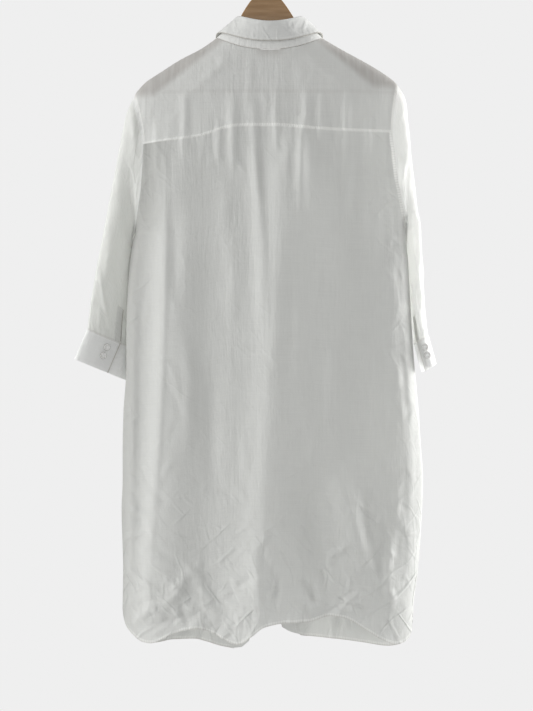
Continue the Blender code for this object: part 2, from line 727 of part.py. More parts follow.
LAP_ANGLE = math.degrees(math.asin((BAND_WIDTH / 2 / NECK_HALF) ** 1.3))


def stand_grid(columns=34, rows=2):
    angle = np.linspace(-(180 + LAP_ANGLE), 180 + LAP_ANGLE, columns + 1)
    t = np.linspace(0.012, STAND_HEIGHT, rows + 1)[:, None]
    return collar_point(np.repeat(angle[None], rows + 1, 0), np.repeat(t, columns + 1, 1), np.repeat(lap_out(angle)[None], rows + 1, 0))


def leaf_grid(columns=34, inner_rows=1, roll_rows=3, outer_rows=3):
    """Rows from the stand's top over the fold to the fall's lower edge."""
    rows = []
    start = STAND_HEIGHT + 0.012
    for k in range(inner_rows + 1):
        rows.append((0.0, start + (FOLD_T - start) * k / inner_rows, -BAND_WALL, 0.0))
    for k in range(1, roll_rows + 1):
        a = math.pi * k / (roll_rows + 1)
        rows.append((0.0, FOLD_T + math.sin(a) * 0.05, ROLL * (1 - math.cos(a)) - BAND_WALL, 0.0))
    for k in range(outer_rows + 1):
        rows.append((k / outer_rows, FOLD_T, 2 * ROLL - BAND_WALL, 1.0))
    out_grid = []
    for share, t, out, falling in rows:
        end = 176.0 - 20.0 * share
        angle = np.linspace(-end, end, columns + 1)
        edge = through([r[0] for r in FALL], [r[1] for r in FALL], np.abs(angle))
        tt = np.full_like(angle, t) if not falling else t + (edge - t) * share
        oo = out + (FALL_OUT + 2.0 - out) * share if falling else out
        if falling:
            front = ease((np.abs(angle) - 100) / 40)
            oo = oo + front * 3.2 * share + front * 0.9
        out_grid.append(collar_point(angle, tt, np.full_like(angle, 0.0) + oo))
    return np.stack(out_grid)


# ------------------------------------------------------------------ from grids to solids
class Sheet:
    """A grid of points with its outward normals, to be made into a walled piece."""

    def __init__(self, name, grid, flip, wrap=False, wall=WALL, seams="", inward=1.0):
        self.name, self.wrap, self.wall, self.seams = name, wrap, wall, seams
        self.points = np.asarray(grid, float)
        self.rows, self.cols = self.points.shape[:2]
        self.flip = flip
        self.inward = inward
        self.normals = None

    def quads(self):
        m, n = self.rows, self.cols
        last = n if self.wrap else n - 1
        i, j = np.meshgrid(np.arange(m - 1), np.arange(last), indexing="ij")
        k = (j + 1) % n
        a, b, c, d = i * n + j, i * n + k, (i + 1) * n + k, (i + 1) * n + j
        q = np.stack([a, d, c, b], -1).reshape(-1, 4)
        return q[:, ::-1] if self.flip else q

    def rims(self):
        """The boundary as closed loops of point numbers, with a letter for each edge."""
        m, n = self.rows, self.cols
        number = np.arange(m * n).reshape(m, n)
        if self.wrap:
            return [(list(number[0]), "T" * n), (list(number[-1]), "B" * n)]
        loop = list(number[0, :-1]) + list(number[:-1, -1]) + list(number[-1, :0:-1]) + list(number[:0:-1, 0])
        sides = "T" * (n - 1) + "R" * (m - 1) + "B" * (n - 1) + "L" * (m - 1)
        return [(loop, sides)]


def face_normals(points, quads):
    a, b, c, d = (points[quads[:, k]] for k in range(4))
    return np.cross(c - a, d - b)


def share_normals(sheets):
    """One outward direction for each place, shared by the sheets that meet there."""
    sums = {}
    for sheet in sheets:
        flat = sheet.points.reshape(-1, 3)
        quads = sheet.quads()
        n = face_normals(flat, quads)
        length = np.linalg.norm(n, axis=1, keepdims=True)
        n = n / np.maximum(length, 1e-9) * np.sqrt(np.maximum(length, 1e-9))
        each = np.zeros_like(flat)
        for k in range(4):
            np.add.at(each, quads[:, k], n)
        sheet.own = each
        for point, normal in zip(np.round(flat, 3), each):
            key = tuple(point)
            sums[key] = sums.get(key, 0) + normal
    for sheet in sheets:
        flat = sheet.points.reshape(-1, 3)
        n = np.array([sums[tuple(p)] for p in np.round(flat, 3)])
        sheet.normals = n / np.linalg.norm(n, axis=1, keepdims=True)


def seam_moves(sheet):
    """How far each point of a seam edge moves into its own piece."""
    flat = sheet.points.reshape(-1, 3)
    move = np.zeros_like(flat)
    middle = flat.mean(axis=0)
    for loop, sides in sheet.rims():
        loop = np.array(loop)
        ahead = np.roll(loop, -1)
        t = flat[ahead] - flat[loop]
        t /= np.maximum(np.linalg.norm(t, axis=1, keepdims=True), 1e-9)
        gap = np.array([SEAM_GAP / 2 if s in sheet.seams else 0.0 for s in sides])
        for k, number in enumerate(loop):
            n = sheet.normals[number]
            g1 = np.cross(n, t[k - 1])
            g2 = np.cross(n, t[k])
            g1 /= max(np.linalg.norm(g1), 1e-9)
            g2 /= max(np.linalg.norm(g2), 1e-9)
            d1, d2 = gap[k - 1], gap[k]
            c = float(np.dot(g1, g2))
            if c > 0.995:
                move[number] = (g1 + g2) / 2 * max(d1, d2)
            else:
                a, b = (d1 - c * d2) / (1 - c * c), (d2 - c * d1) / (1 - c * c)
                step = a * g1 + b * g2
                size = np.linalg.norm(step)
                move[number] = step * min(1.0, 0.6 / max(size, 1e-9))
        # The loop's own turning sense decides which way is in.
        n_in = into_piece(sheet, loop)
        total = (move[loop] * n_in).sum()
        if total < 0:
            move[loop] *= -1
    return move


def into_piece(sheet, loop):
    """For each point of a rim, the way to the nearest points that are not on it."""
    flat = sheet.points.reshape(-1, 3)
    rim = set(int(i) for i in loop)
    result = np.zeros((len(loop), 3))
    near = {int(i): [] for i in loop}
    for quad in sheet.quads():
        for i in quad:
            if int(i) in near:
                near[int(i)].extend(int(j) for j in quad if int(j) not in rim)
    for k, i in enumerate(loop):
        if near[int(i)]:
            result[k] = flat[near[int(i)]].mean(axis=0) - flat[i]
    return result


def walled(sheet):
    """Vertices and faces of the closed wall: outside, inside and rims."""
    flat = sheet.points.reshape(-1, 3) + seam_moves(sheet)
    inner = flat - sheet.normals * sheet.wall
    count = len(flat)
    quads = sheet.quads()
    place = np.round(sheet.points.reshape(-1, 3), 3)
    # Outside and inside are split along the same diagonal, so the wall keeps its thickness.
    faces = []
    for a, b, c, d in quads.tolist():
        if np.linalg.norm(flat[a] - flat[c]) <= np.linalg.norm(flat[b] - flat[d]):
            pair = ((a, b, c), (a, c, d))
        else:
            pair = ((a, b, d), (b, c, d))
        for tri in pair:
            faces.append(tri)
            faces.append(tuple(i + count for i in reversed(tri)))
    directed = set()
    for q in quads:
        for k in range(4):
            directed.add((int(q[k]), int(q[(k + 1) % 4])))
    for loop, _ in sheet.rims():
        for a, b in zip(loop, loop[1:] + loop[:1]):
            a, b = int(a), int(b)
            if (a, b) not in directed:
                a, b = b, a
            # Both pieces at a seam split their edges' quads the same way.
            if tuple(place[a]) < tuple(place[b]):
                faces += [(b, a, b + count), (a, a + count, b + count)]
            else:
                faces += [(b, a, a + count), (b, a + count, b + count)]
    return np.concatenate([flat, inner]), faces


def material(name, colour, roughness, metallic=0.0):
    found = bpy.data.materials.new(name)
    found.use_nodes = True
    shader = found.node_tree.nodes["Principled BSDF"]
    shader.inputs["Base Color"].default_value = colour
    shader.inputs["Roughness"].default_value = roughness
    shader.inputs["Metallic"].default_value = metallic
    found.diffuse_color = colour
    return found


def add_object(name, points, faces, mat, smooth=True):
    mesh = bpy.data.meshes.new(name)
    mesh.from_pydata([tuple(p * 0.001) for p in np.asarray(points, float)], [], faces)
    mesh.validate()
    if smooth:
        mesh.shade_smooth()
        mesh.set_sharp_from_angle(angle=math.radians(50))
    mesh.materials.append(mat)
    obj = bpy.data.objects.new(name, mesh)
    bpy.context.scene.collection.objects.link(obj)
    return obj


def turned(profile, centre, axis, segments):
    """A closed turned shape. profile rows are (radius, height along axis), bottom to top."""
    axis = np.asarray(axis, float) / np.linalg.norm(axis)
    side = np.cross(axis, (0.0, 0.0, 1.0))
    if np.linalg.norm(side) < 1e-3:
        side = np.cross(axis, (1.0, 0.0, 0.0))
    side /= np.linalg.norm(side)
    other = np.cross(axis, side)
    points, rings = [], []
    for radius, height in profile:
        if radius == 0:
            rings.append([len(points)])
            points.append(np.asarray(centre) + axis * height)
            continue
        ring = []
        for k in range(segments):
            a = 2 * math.pi * k / segments
            ring.append(len(points))
            points.append(np.asarray(centre) + axis * height + radius * (math.cos(a) * side + math.sin(a) * other))
        rings.append(ring)
    faces = []
    for low, high in zip(rings, rings[1:]):
        for k in range(segments):
            j = (k + 1) % segments
            if len(low) == 1:
                faces.append((low[0], high[j], high[k]))
            elif len(high) == 1:
                faces.append((low[k], low[j], high[0]))
            else:
                faces.append((low[k], low[j], high[j], high[k]))
    return np.array(points), faces


def seat_on(patch, out_y):
    """Where a button lies on a 3 by 3 patch of cloth: its seat and its axis."""
    patch = np.asarray(patch, float)
    normal = np.cross(patch[1, 2] - patch[1, 0], patch[2, 1] - patch[0, 1])
    normal /= np.linalg.norm(normal)
    if normal[1] * out_y < 0:
        normal = -normal
    above = ((patch - patch[1, 1]) @ normal).max()
    return patch[1, 1] + normal * max(above, 0.0), normal


def add_button(name, seat, normal, mat):
    r, t = BUTTON_D / 2, BUTTON_T
    profile = ((0, 0), (r * 0.86, 0), (r, t * 0.45), (r * 0.9, t), (0, t * 0.86))
    points, faces = turned(profile, np.asarray(seat) + np.asarray(normal) * SEAM_GAP, normal, 12)
    return add_object(name, points, faces, mat)


def tilt(x, z):
    c, s = math.cos(HANGER_TILT), math.sin(HANGER_TILT)
    return x * c - z * s, x * s + z * c


def hanger_outline(steps=84):
    """The hanger's outline as one closed loop of points, evenly spaced."""
    half = polyline_at(HANGER_TOP + HANGER_UNDER, np.linspace(0, 1, steps + 1))
    left = half[1:-1][::-1] * (-1.0, 1.0)
    return np.concatenate([half, left])


def add_hanger(mat):
    """The wooden part: its outline, thick across y, with rounded edges."""
    outline = hanger_outline()
    ahead, behind = np.roll(outline, -1, 0), np.roll(outline, 1, 0)
    t = ahead - behind
    t /= np.linalg.norm(t, axis=1, keepdims=True)
    inward = np.stack([t[:, 1], -t[:, 0]], -1)
    area = np.sum(outline[:, 0] * ahead[:, 1] - ahead[:, 0] * outline[:, 1])
    if area > 0:
        inward = -inward
    half, edge = HANGER_THICK / 2, HANGER_EDGE
    turn = np.radians(np.linspace(0, 90, 5))
    first = [(-half + edge * (1 - math.sin(a)), edge * (1 - math.cos(a))) for a in turn[::-1]]
    rings = first + [(-y, inset) for y, inset in reversed(first)]
    points, faces, n = [], [], len(outline)
    for y, inset in rings:
        for x, z in outline + inward * inset:
            x, z = tilt(x, z)
            points.append((x, y, z))
    clockwise = area < 0
    for k in range(len(rings) - 1):
        for i in range(n):
            j = (i + 1) % n
            face = (k * n + i, k * n + j, (k + 1) * n + j, (k + 1) * n + i)
            faces.append(face[::-1] if clockwise else face)
    low, high = tuple(range(n)), tuple(range((len(rings) - 1) * n, len(rings) * n))
    faces.append(low if clockwise else low[::-1])
    faces.append(high[::-1] if clockwise else high)
    return add_object("hanger_body", points, [tuple(reversed(f)) for f in faces], mat)


def add_bar(mat):
    ends = 180.0 - SEAM_GAP
    a, b = tilt(-ends, BAR_Z), tilt(ends, BAR_Z)
    start, end = np.array([a[0], 0, a[1]]), np.array([b[0], 0, b[1]])
    length = np.linalg.norm(end - start)
    r = BAR_D / 2
    points, faces = turned(((0, 0), (r, 0), (r, length / 2), (r, length), (0, length)), start, end - start, 28)
    return add_object("hanger_bar", points, faces, mat)


def hook_path():
    """The wire's middle line, from the tip of the hook over the rail to the wood."""
    r = HOOK_R + WIRE_D / 2
    cx, cz = 0.0, -HOOK_R
    path = []
    for a in np.radians(np.linspace(205, -42, 56)):
        path.append((cx + r * math.cos(a), cz + r * math.sin(a)))
    p0, p3 = np.array(path[-1]), np.array([0.0, -53.0])
    a = math.radians(-42)
    p1 = p0 + 9.0 * np.array([math.sin(a), -math.cos(a)])
    p2 = p3 + np.array([0.0, 9.0])
    for t in np.linspace(0, 1, 13)[1:]:
        p = (1 - t) ** 3 * p0 + 3 * t * (1 - t) ** 2 * p1 + 3 * t * t * (1 - t) * p2 + t ** 3 * p3
        path.append(tuple(p))
    path.append((0.0, -68.0 + SEAM_GAP + 0.05))
    return path


def add_hook(mat):
    curve = bpy.data.curves.new("hanger_hook", "CURVE")
    curve.dimensions = "3D"
    curve.bevel_depth = WIRE_D / 2 * 0.001
    curve.bevel_resolution = 5
    curve.use_fill_caps = True
    path = hook_path()
    spline = curve.splines.new("POLY")
    spline.points.add(len(path) - 1)
    for k, (x, z) in enumerate(path):
        x, z = tilt(x, z)
        spline.points[k].co = (x * 0.001, 0.0, z * 0.001, 1.0)
    obj = bpy.data.objects.new("hanger_hook", curve)
    bpy.context.scene.collection.objects.link(obj)
    curve.materials.append(mat)
    return obj


# ------------------------------------------------------------------ build
def main():
    for obj in list(bpy.data.objects):
        bpy.data.objects.remove(obj, do_unlink=True)

    yoke = yoke_grid()
    back = back_grid(yoke)
    front = {side: front_grid(side, yoke) for side in (-1, 1)}
    band = {side: band_grid(side, front[side]) for side in (-1, 1)}
    sleeve = {side: sleeve_grid(side, armhole_loop(side, yoke, back, front[side])) for side in (-1, 1)}

    body_sheets = [
        Sheet("yoke", yoke, flip=False, seams="LBR"),
        Sheet("back", back, flip=False, seams="TLR"),
        Sheet("front_left", front[-1], flip=True, seams="TLR"),
        Sheet("front_right", front[1], flip=False, seams="TLR"),
        Sheet("placket_left", band[-1], flip=True, seams="L", wall=BAND_WALL),
        Sheet("placket_right", band[1], flip=False, seams="L", wall=BAND_WALL),
        Sheet("sleeve_left", sleeve[-1], flip=False, wrap=True, seams="T"),
        Sheet("sleeve_right", sleeve[1], flip=True, wrap=True, seams="T"),
    ]
    share_normals(body_sheets)

    lying = []
    for side, name in ((-1, "left"), (1, "right")):
        strip = sleeve_placket_grid(side)
        sheet = Sheet("sleeve_placket_" + name, strip, flip=side < 0, wall=WALL)
        share_normals([sheet])
        lift = sheet.normals.reshape(strip.shape) * (WALL + 0.45)
        sheet.points = strip + lift
        lying.append(sheet)
    others = [
        Sheet("cuff_left", cuff_grid(-1), flip=False, wall=BAND_WALL),
        Sheet("cuff_right", cuff_grid(1), flip=True, wall=BAND_WALL),
        Sheet("collar_stand", stand_grid(), flip=True, wall=BAND_WALL),
        Sheet("collar", leaf_grid(), flip=False, wall=LEAF_WALL),
    ]
    for sheet in others:
        share_normals([sheet])

    for sheet in body_sheets + lying + others:
        points, faces = walled(sheet)
        add_object(sheet.name, points, faces, material(sheet.name, LINEN, 0.85))

    for side, name in ((-1, "left"), (1, "right")):
        table = CUFF_LEFT if side < 0 else CUFF_RIGHT
        angle = (CUFF_LAP_LEFT if side < 0 else CUFF_LAP_RIGHT)[0]
        for k, q in enumerate(CUFF_BUTTON_ROWS):
            around = np.array([[angle - 6, angle, angle + 6]] * 3)
            down = np.array([[q - 0.05] * 3, [q] * 3, [q + 0.05] * 3])
            patch = section(table, down, around, np.full((3, 3, 1), CUFF_PROUD))
            seat, normal = seat_on(patch, -1)
            add_button("cuff_button_%s_%d" % (name, k + 1), seat, normal, material("cuff_button", PEARL, 0.25))

    pearl = material("front_button", PEARL, 0.25)
    heights = np.linspace(FIRST_BUTTON, LAST_BUTTON, FRONT_BUTTONS)
    around, up = np.meshgrid(180.0 + np.array([-7.0, 0.0, 7.0]), np.array([0.22, 0.36, 0.5]))
    seat, normal = seat_on(collar_point(around, up, lap_out(around)), 1)
    add_button("front_button_01", seat, normal, pearl)
    for k, z in enumerate(heights):
        x, down = np.meshgrid(CENTRE_FRONT + np.array([-5.5, 0.0, 5.5]), z + np.array([5.5, 0.0, -5.5]))
        lap = BAND_STEP * (CENTRE_FRONT + BAND_WIDTH / 2 - x) / BAND_WIDTH
        seat, normal = seat_on(np.stack([x, front_y(x, down) + lap, down], -1), 1)
        add_button("front_button_%02d" % (k + 2), seat, normal, pearl)

    wood = material("wood", WOOD, 0.5)
    add_hanger(wood)
    add_bar(wood)
    add_hook(material("steel", STEEL, 0.25, 1.0))


main()
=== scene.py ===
import math

import bmesh
import bpy
import numpy as np
from mathutils import Matrix, Vector


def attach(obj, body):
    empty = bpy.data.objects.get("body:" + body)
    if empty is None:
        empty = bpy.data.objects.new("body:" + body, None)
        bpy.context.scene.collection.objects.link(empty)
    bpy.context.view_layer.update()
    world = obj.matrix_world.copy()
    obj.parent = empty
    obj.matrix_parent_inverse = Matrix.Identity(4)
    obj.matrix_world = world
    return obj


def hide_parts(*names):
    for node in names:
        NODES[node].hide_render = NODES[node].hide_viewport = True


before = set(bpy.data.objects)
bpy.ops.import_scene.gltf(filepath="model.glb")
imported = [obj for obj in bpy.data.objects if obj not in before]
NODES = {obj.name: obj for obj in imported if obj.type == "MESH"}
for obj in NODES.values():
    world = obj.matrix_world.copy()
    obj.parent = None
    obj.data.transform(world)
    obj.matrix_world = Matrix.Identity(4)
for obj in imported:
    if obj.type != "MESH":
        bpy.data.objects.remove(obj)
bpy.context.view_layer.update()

# The cloth's sizes are those of the solid part. Millimetres, +Z up, the origin
# at the inner top of the hook, the back of the dress towards -Y.
# ------------------------------------------------------------------ sizes, mm
WALL = 1.2  # one layer of linen as a wall
BAND_WALL = 1.6  # two layers with a stiffener: bands, cuffs, stand
LEAF_WALL = 1.4  # the turned-down collar
SEAM_GAP = 0.3
CENTRE_FRONT = 6.0  # x of the centre-front line
BAND_WIDTH = 30.0  # button band and buttonhole band
BAND_STEP = 2.0  # how far the overlap lies above the underlap
NECK_TOP = -145.5  # height of the neck seam at the shoulders
NECK_DROP_BACK = 23.7
NECK_DROP_FRONT = 64.0
FORWARD_SEAM = 25.0  # the yoke comes this far over the shoulder
SHOULDER_SLOPE = 0.6
UNDERARM_LEFT = -472.0
UNDERARM_RIGHT = -467.0
HEM_TOP_LEFT = -1114.0  # where the side seams end and the rounded corners start
HEM_TOP_RIGHT = -1118.0
STAND_HEIGHT = 0.70  # the stand's share of the collar's height
ROLL = 2.2  # outside radius of the collar's fold
FOLD_T = 0.96  # where the fold's curve starts, as a share of the height
FALL_OUT = 3.4  # the fall's distance outside the stand
BUTTON_D = 11.5
BUTTON_T = 2.2
LAST_BUTTON = -897.0
FIRST_BUTTON = -265.0
FRONT_BUTTONS = 9
SPREAD_LEFT = 43.0  # how far each front's free edge swings away at the hem
SPREAD_RIGHT = 38.0
HANGER_THICK = 13.0
HANGER_EDGE = 2.2  # radius along its edges
HANGER_TILT = math.radians(1.1)
BAR_D = 10.0
WIRE_D = 3.6
HOOK_R = 20.0  # inside radius of the hook

# The outline at each height, and how far back and front stand off the middle.
BODY_COLUMNS = ("z", "left", "right", "back", "front")
BODY = (
    (-144.6, -83.0, 96.4, 32, 32),
    (-163.2, -109.8, 128.2, 33, 34),
    (-181.4, -144.5, 161.7, 34, 35),
    (-202.0, -177.0, 197.0, 34, 36),
    (-222.0, -206.2, 223.0, 35, 37),
    (-244.0, -223.0, 237.0, 35, 38),
    (-280.0, -231.0, 245.0, 36, 39),
    (-320.0, -236.0, 250.0, 37, 40),
    (-365.0, -236.5, 252.0, 38, 42),
    (-404.0, -233.5, 250.0, 39, 43),
    (-437.0, -228.0, 245.0, 40, 43),
    (-470.0, -221.5, 238.7, 41, 43),
    (-494.0, -226.6, 240.5, 42, 43),
    (-528.0, -231.7, 243.3, 43, 43),
    (-640.0, -236.8, 249.4, 45, 44),
    (-711.0, -236.8, 254.5, 46, 45),
    (-776.0, -241.1, 260.4, 47, 47),
    (-844.0, -242.8, 264.7, 48, 48),
    (-895.0, -242.8, 268.1, 48, 48),
    (-946.0, -244.5, 266.4, 48, 49),
    (-1048.0, -241.9, 259.6, 48, 50),
    (-1116.0, -242.8, 251.6, 48, 50),
    (-1200.0, -243.0, 251.8, 48, 50),
)

# Long soft folds. Height is outward, a trough is negative. Left and right are
# the fold's reach on each side of its line, which runs through three points.
FOLD_COLUMNS = ("x1", "z1", "x2", "z2", "x3", "z3", "height", "left", "right")
BACK_FOLDS = (
    (-160, -300, -167, -700, -196, -1110, 12, 30, 46),
    (37, -300, 20, -660, -16, -1170, 12, 33, 66),
    (-96, -480, -98, -800, -96, -1100, -6, 34, 36),
    (150, -330, 160, -560, 150, -860, -6, 46, 40),
    (120, -860, 150, -960, 176, -1080, 4, 30, 26),
    (214, -520, 226, -800, 222, -1120, 6, 20, 26),
    (66, -900, 80, -1020, 90, -1130, -5, 26, 30),
)
FRONT_FOLDS = (
    (-150, -330, -158, -650, -176, -1130, 10, 30, 22),
    (-84, -420, -88, -760, -92, -1150, -8, 30, 32),
    (96, -360, 104, -700, 128, -1140, -8, 34, 30),
    (168, -340, 176, -680, 190, -1130, 9, 22, 30),
    (52, -700, 62, -900, 74, -1140, 5, 22, 22),
)

# Armholes: the seam's x on the back and on the front at each height.
ARMHOLE_COLUMNS = ("z", "back", "front")
ARMHOLE_LEFT = (
    (-274.5, -214.0, -211.0),
    (-300.0, -208.6, -204.0),
    (-321.0, -206.0, -200.5),
    (-365.0, -208.0, -201.5),
    (-404.0, -211.0, -205.0),
    (-437.0, -216.0, -211.5),
)
ARMHOLE_RIGHT = (
    (-262.0, 219.0, 214.0),
    (-292.0, 215.6, 209.5),
    (-312.0, 215.0, 208.5),
    (-340.0, 218.6, 210.5),
    (-365.0, 221.0, 213.5),
    (-391.0, 225.0, 219.0),
    (-432.0, 233.0, 230.0),
)

YOKE_SEAM_COLUMNS = ("x", "z")
YOKE_SEAM = (
    (-207.0, -326.8),
    (-160.5, -321.2),
    (-124.0, -317.0),
    (-93.0, -309.6),
    (-69.4, -302.0),
    (-42.5, -298.2),
    (4.6, -298.1),
    (34.8, -298.9),
    (75.1, -302.6),
    (142.5, -305.8),
    (216.0, -307.0),
)

# Hem lines between the two side seams, corners included.
HEM_COLUMNS = ("x", "z")
HEM_BACK = (
    (-240.8, -1128.0),
    (-236.0, -1141.0),
    (-225.2, -1154.1),
    (-206.1, -1167.0),
    (-194.0, -1168.6),
    (-165.0, -1156.8),
    (-142.4, -1147.0),
    (-115.0, -1142.2),
    (-87.0, -1149.8),
    (-64.7, -1162.5),
    (-47.0, -1167.9),
    (-24.2, -1155.0),
    (-2.0, -1138.4),
    (34.7, -1131.2),
    (71.5, -1130.6),
    (108.0, -1120.8),
    (130.6, -1124.0),
    (171.4, -1147.0),
    (194.0, -1161.0),
    (222.0, -1171.5),
    (238.0, -1166.0),
    (248.0, -1152.0),
    (251.0, -1136.0),
)
HEM_FRONT_LEFT = (
    (-240.8, -1130.0),
    (-236.0, -1146.0),
    (-225.0, -1162.0),
    (-206.0, -1176.0),
    (-190.0, -1177.6),
    (-160.0, -1173.2),
    (-123.7, -1172.4),
    (-101.0, -1177.4),
    (-78.0, -1185.0),
    (-54.0, -1190.0),
)
HEM_FRONT_RIGHT = (
    (60.0, -1167.0),
    (93.0, -1170.0),
    (130.0, -1173.3),
    (168.0, -1178.0),
    (206.0, -1182.4),
    (228.0, -1179.0),
    (242.0, -1165.0),
    (248.6, -1150.0),
    (251.0, -1136.0),
)

# Sleeves: the outer and the inner fold line, and the half thickness across them.
SLEEVE_COLUMNS = ("v", "ox", "oy", "oz", "ix", "iy", "iz", "half")
SLEEVE_LEFT = (
    (0.00, -222.6, 0, -243.5, -221.5, 0, -472, 18),
    (0.10, -234.0, -1, -268, -228.0, 12, -494, 21),
    (0.25, -250.0, -4, -344, -224.0, 27, -520, 22),
    (0.50, -268.0, -8, -442, -213.0, 41, -574, 21),
    (0.75, -286.5, -10, -540, -211.0, 41, -627, 16),
    (0.90, -296.5, -9, -598, -210.0, 39, -658, 12),
    (1.00, -301.4, -8, -639, -209.0, 37, -679, 10),
)
SLEEVE_RIGHT = (
    (0.00, 225.0, 0, -225, 238.5, 0, -467, 18),
    (0.10, 239.0, 1, -252, 242.5, 5, -487, 21),
    (0.25, 247.0, 5, -330, 239.0, 16, -518, 24),
    (0.50, 260.6, 16, -437, 243.0, 27, -567, 33),
    (0.75, 270.0, 27, -542, 249.5, 33, -615, 41),
    (0.90, 274.5, 32, -606, 253.5, 35, -644, 45),
    (1.00, 279.0, 34, -648, 255.3, 34, -663, 46),
)

# Cuffs: the same columns at the seam and at the lower edge.
CUFF_LEFT = (
    (0.0, -301.4, -8, -639, -209.0, 37, -679, 10),
    (1.0, -323.0, -12, -690, -230.0, 30, -730, 10.5),
)
CUFF_RIGHT = (
    (0.0, 279.0, 34, -648, 255.3, 34, -663, 46),
    (1.0, 292.7, 35, -697, 269.8, 35, -712, 46),
)
CUFF_PROUD = 0.6
SLEEVE_ROOM = 3.2  # between a sleeve and the body that it hangs against
CUFF_UNDER = 2.2  # how far the underlap lies inside the overlap
# Angles round the cuff: 0 is the outer fold line, 90 the middle of the back.
CUFF_LAP_COLUMNS = ("button", "overlap", "underlap")
CUFF_LAP_LEFT = (75.0, 96.0, 66.0)
CUFF_LAP_RIGHT = (92.0, 138.0, 78.0)
CUFF_BUTTON_ROWS = (0.28, 0.56)
SLEEVE_PLACKET_WIDTH = 13.0
SLEEVE_PLACKET_START = 0.80

# Collar: 0 is centre back, 90 the shoulders, 180 centre front.
FALL_COLUMNS = ("angle", "edge")  # the fall's lower edge as a share of the height
FALL = ((0, 0.29), (45, 0.24), (90, 0.12), (120, -0.10), (156, -0.46), (180, -0.50))
FOLD_RING = {"x": 8.6, "half_x": 54.0, "half_y": 43.0, "side_z": -109.0, "back": 14.0, "front": 52.0}

# Hanger: half outline, x outward from its middle.
HANGER_COLUMNS = ("x", "z")
HANGER_TOP = (
    (0, -68.0), (13, -71.2), (24, -78.5), (34.5, -92.0), (43.5, -106.4),
    (51.5, -119.5), (61, -130.0), (73, -140.5), (88, -150.8), (110, -163.2),
    (150, -184.3), (180, -203.4), (203, -220.4), (213, -229.5), (217.5, -238.0),
)
HANGER_UNDER = (
    (217.0, -244.0), (212, -247.5), (184, -247.5), (180, -244.0), (180, -232.0),
    (150, -209.5), (110, -184.5), (80, -170.0), (40, -155.5), (0, -151.0),
)
BAR_Z = -238.5

# ------------------------------------------------------------------ curves
def column(rows, columns, name):
    return np.array([row[columns.index(name)] for row in rows], float)


def through(xs, ys, x):
    """A smooth curve through the points (xs, ys) that adds no bumps, read at x."""
    xs, ys = np.asarray(xs, float), np.asarray(ys, float)
    step, rise = np.diff(xs), np.diff(ys) / np.diff(xs)
    slope = np.zeros_like(ys)
    slope[0], slope[-1] = rise[0], rise[-1]
    same = rise[:-1] * rise[1:] > 0
    a, b = 2 * step[1:] + step[:-1], step[1:] + 2 * step[:-1]
    safe0, safe1 = np.where(same, rise[:-1], 1.0), np.where(same, rise[1:], 1.0)
    slope[1:-1] = np.where(same, (a + b) / (a / safe0 + b / safe1), 0.0)
    x = np.asarray(x, float)
    i = np.clip(np.searchsorted(xs, x) - 1, 0, len(xs) - 2)
    t = np.clip((x - xs[i]) / step[i], 0.0, 1.0)
    return (
        (1 + 2 * t) * (1 - t) ** 2 * ys[i]
        + t * (1 - t) ** 2 * step[i] * slope[i]
        + t * t * (3 - 2 * t) * ys[i + 1]
        + t * t * (t - 1) * step[i] * slope[i + 1]
    )


def ease(t):
    t = np.clip(t, 0.0, 1.0)
    return t * t * (3 - 2 * t)


BODY_UP = tuple(reversed(BODY))
BODY_Z = column(BODY_UP, BODY_COLUMNS, "z")
BODY_OF = {n: column(BODY_UP, BODY_COLUMNS, n) for n in BODY_COLUMNS}


def body(name, z):
    return through(BODY_Z, BODY_OF[name], z)


def across(x, z):
    """-1 at the left outline, +1 at the right outline."""
    left, right = body("left", z), body("right", z)
    return (x - (left + right) / 2) / ((right - left) / 2)


def roundness(u):
    return np.sqrt(np.clip(1 - np.abs(u) ** 2.4, 0.0, 1.0))


def folds(rows, x, z):
    total = np.zeros(np.broadcast(x, z).shape)
    for x1, z1, x2, z2, x3, z3, height, left, right in rows:
        line = through((z3, z2, z1), (x3, x2, x1), z)
        off = x - line
        reach = np.where(off < 0, left, right)
        along = ease((z1 + 40 - z) / 130) * ease((z - z3 + 70) / 120)
        total = total + height * np.exp(-((off / reach) ** 2)) * along
    return total


def back_y(x, z):
    return -(body("back", z) + folds(BACK_FOLDS, x, z)) * roundness(across(x, z))


def front_y(x, z):
    return (body("front", z) + folds(FRONT_FOLDS, x, z)) * roundness(across(x, z))


# ------------------------------------------------------------------ neck and shoulders
NECK_LEFT, NECK_RIGHT = float(body("left", NECK_TOP)), float(body("right", NECK_TOP))
NECK_X, NECK_HALF = (NECK_LEFT + NECK_RIGHT) / 2, (NECK_RIGHT - NECK_LEFT) / 2
SHOULDER_Z = np.linspace(NECK_TOP, -244.0, 200)
SHOULDER_LEFT, SHOULDER_RIGHT = body("left", SHOULDER_Z), body("right", SHOULDER_Z)


def shoulder(x):
    """Height of the shoulder line over x, carried on over the neck opening."""
    x = np.asarray(x, float)
    inside = NECK_TOP + SHOULDER_SLOPE * NECK_HALF * (1 - ((x - NECK_X) / NECK_HALF) ** 2) / 2
    left = np.interp(x, SHOULDER_LEFT[::-1], SHOULDER_Z[::-1])
    right = np.interp(x, SHOULDER_RIGHT, SHOULDER_Z)
    return np.where(x < NECK_LEFT, left, np.where(x > NECK_RIGHT, right, inside))


def over_shoulder(x, w):
    """A point of the upper body. w is its height above the shoulder line if the
    cloth were unfolded over it: below 0 on the back, above 0 on the front."""
    z = shoulder(x) - np.abs(w)
    y = np.where(w > 0, front_y(x, z), back_y(x, z))
    return np.stack(np.broadcast_arrays(x, y, z), -1)


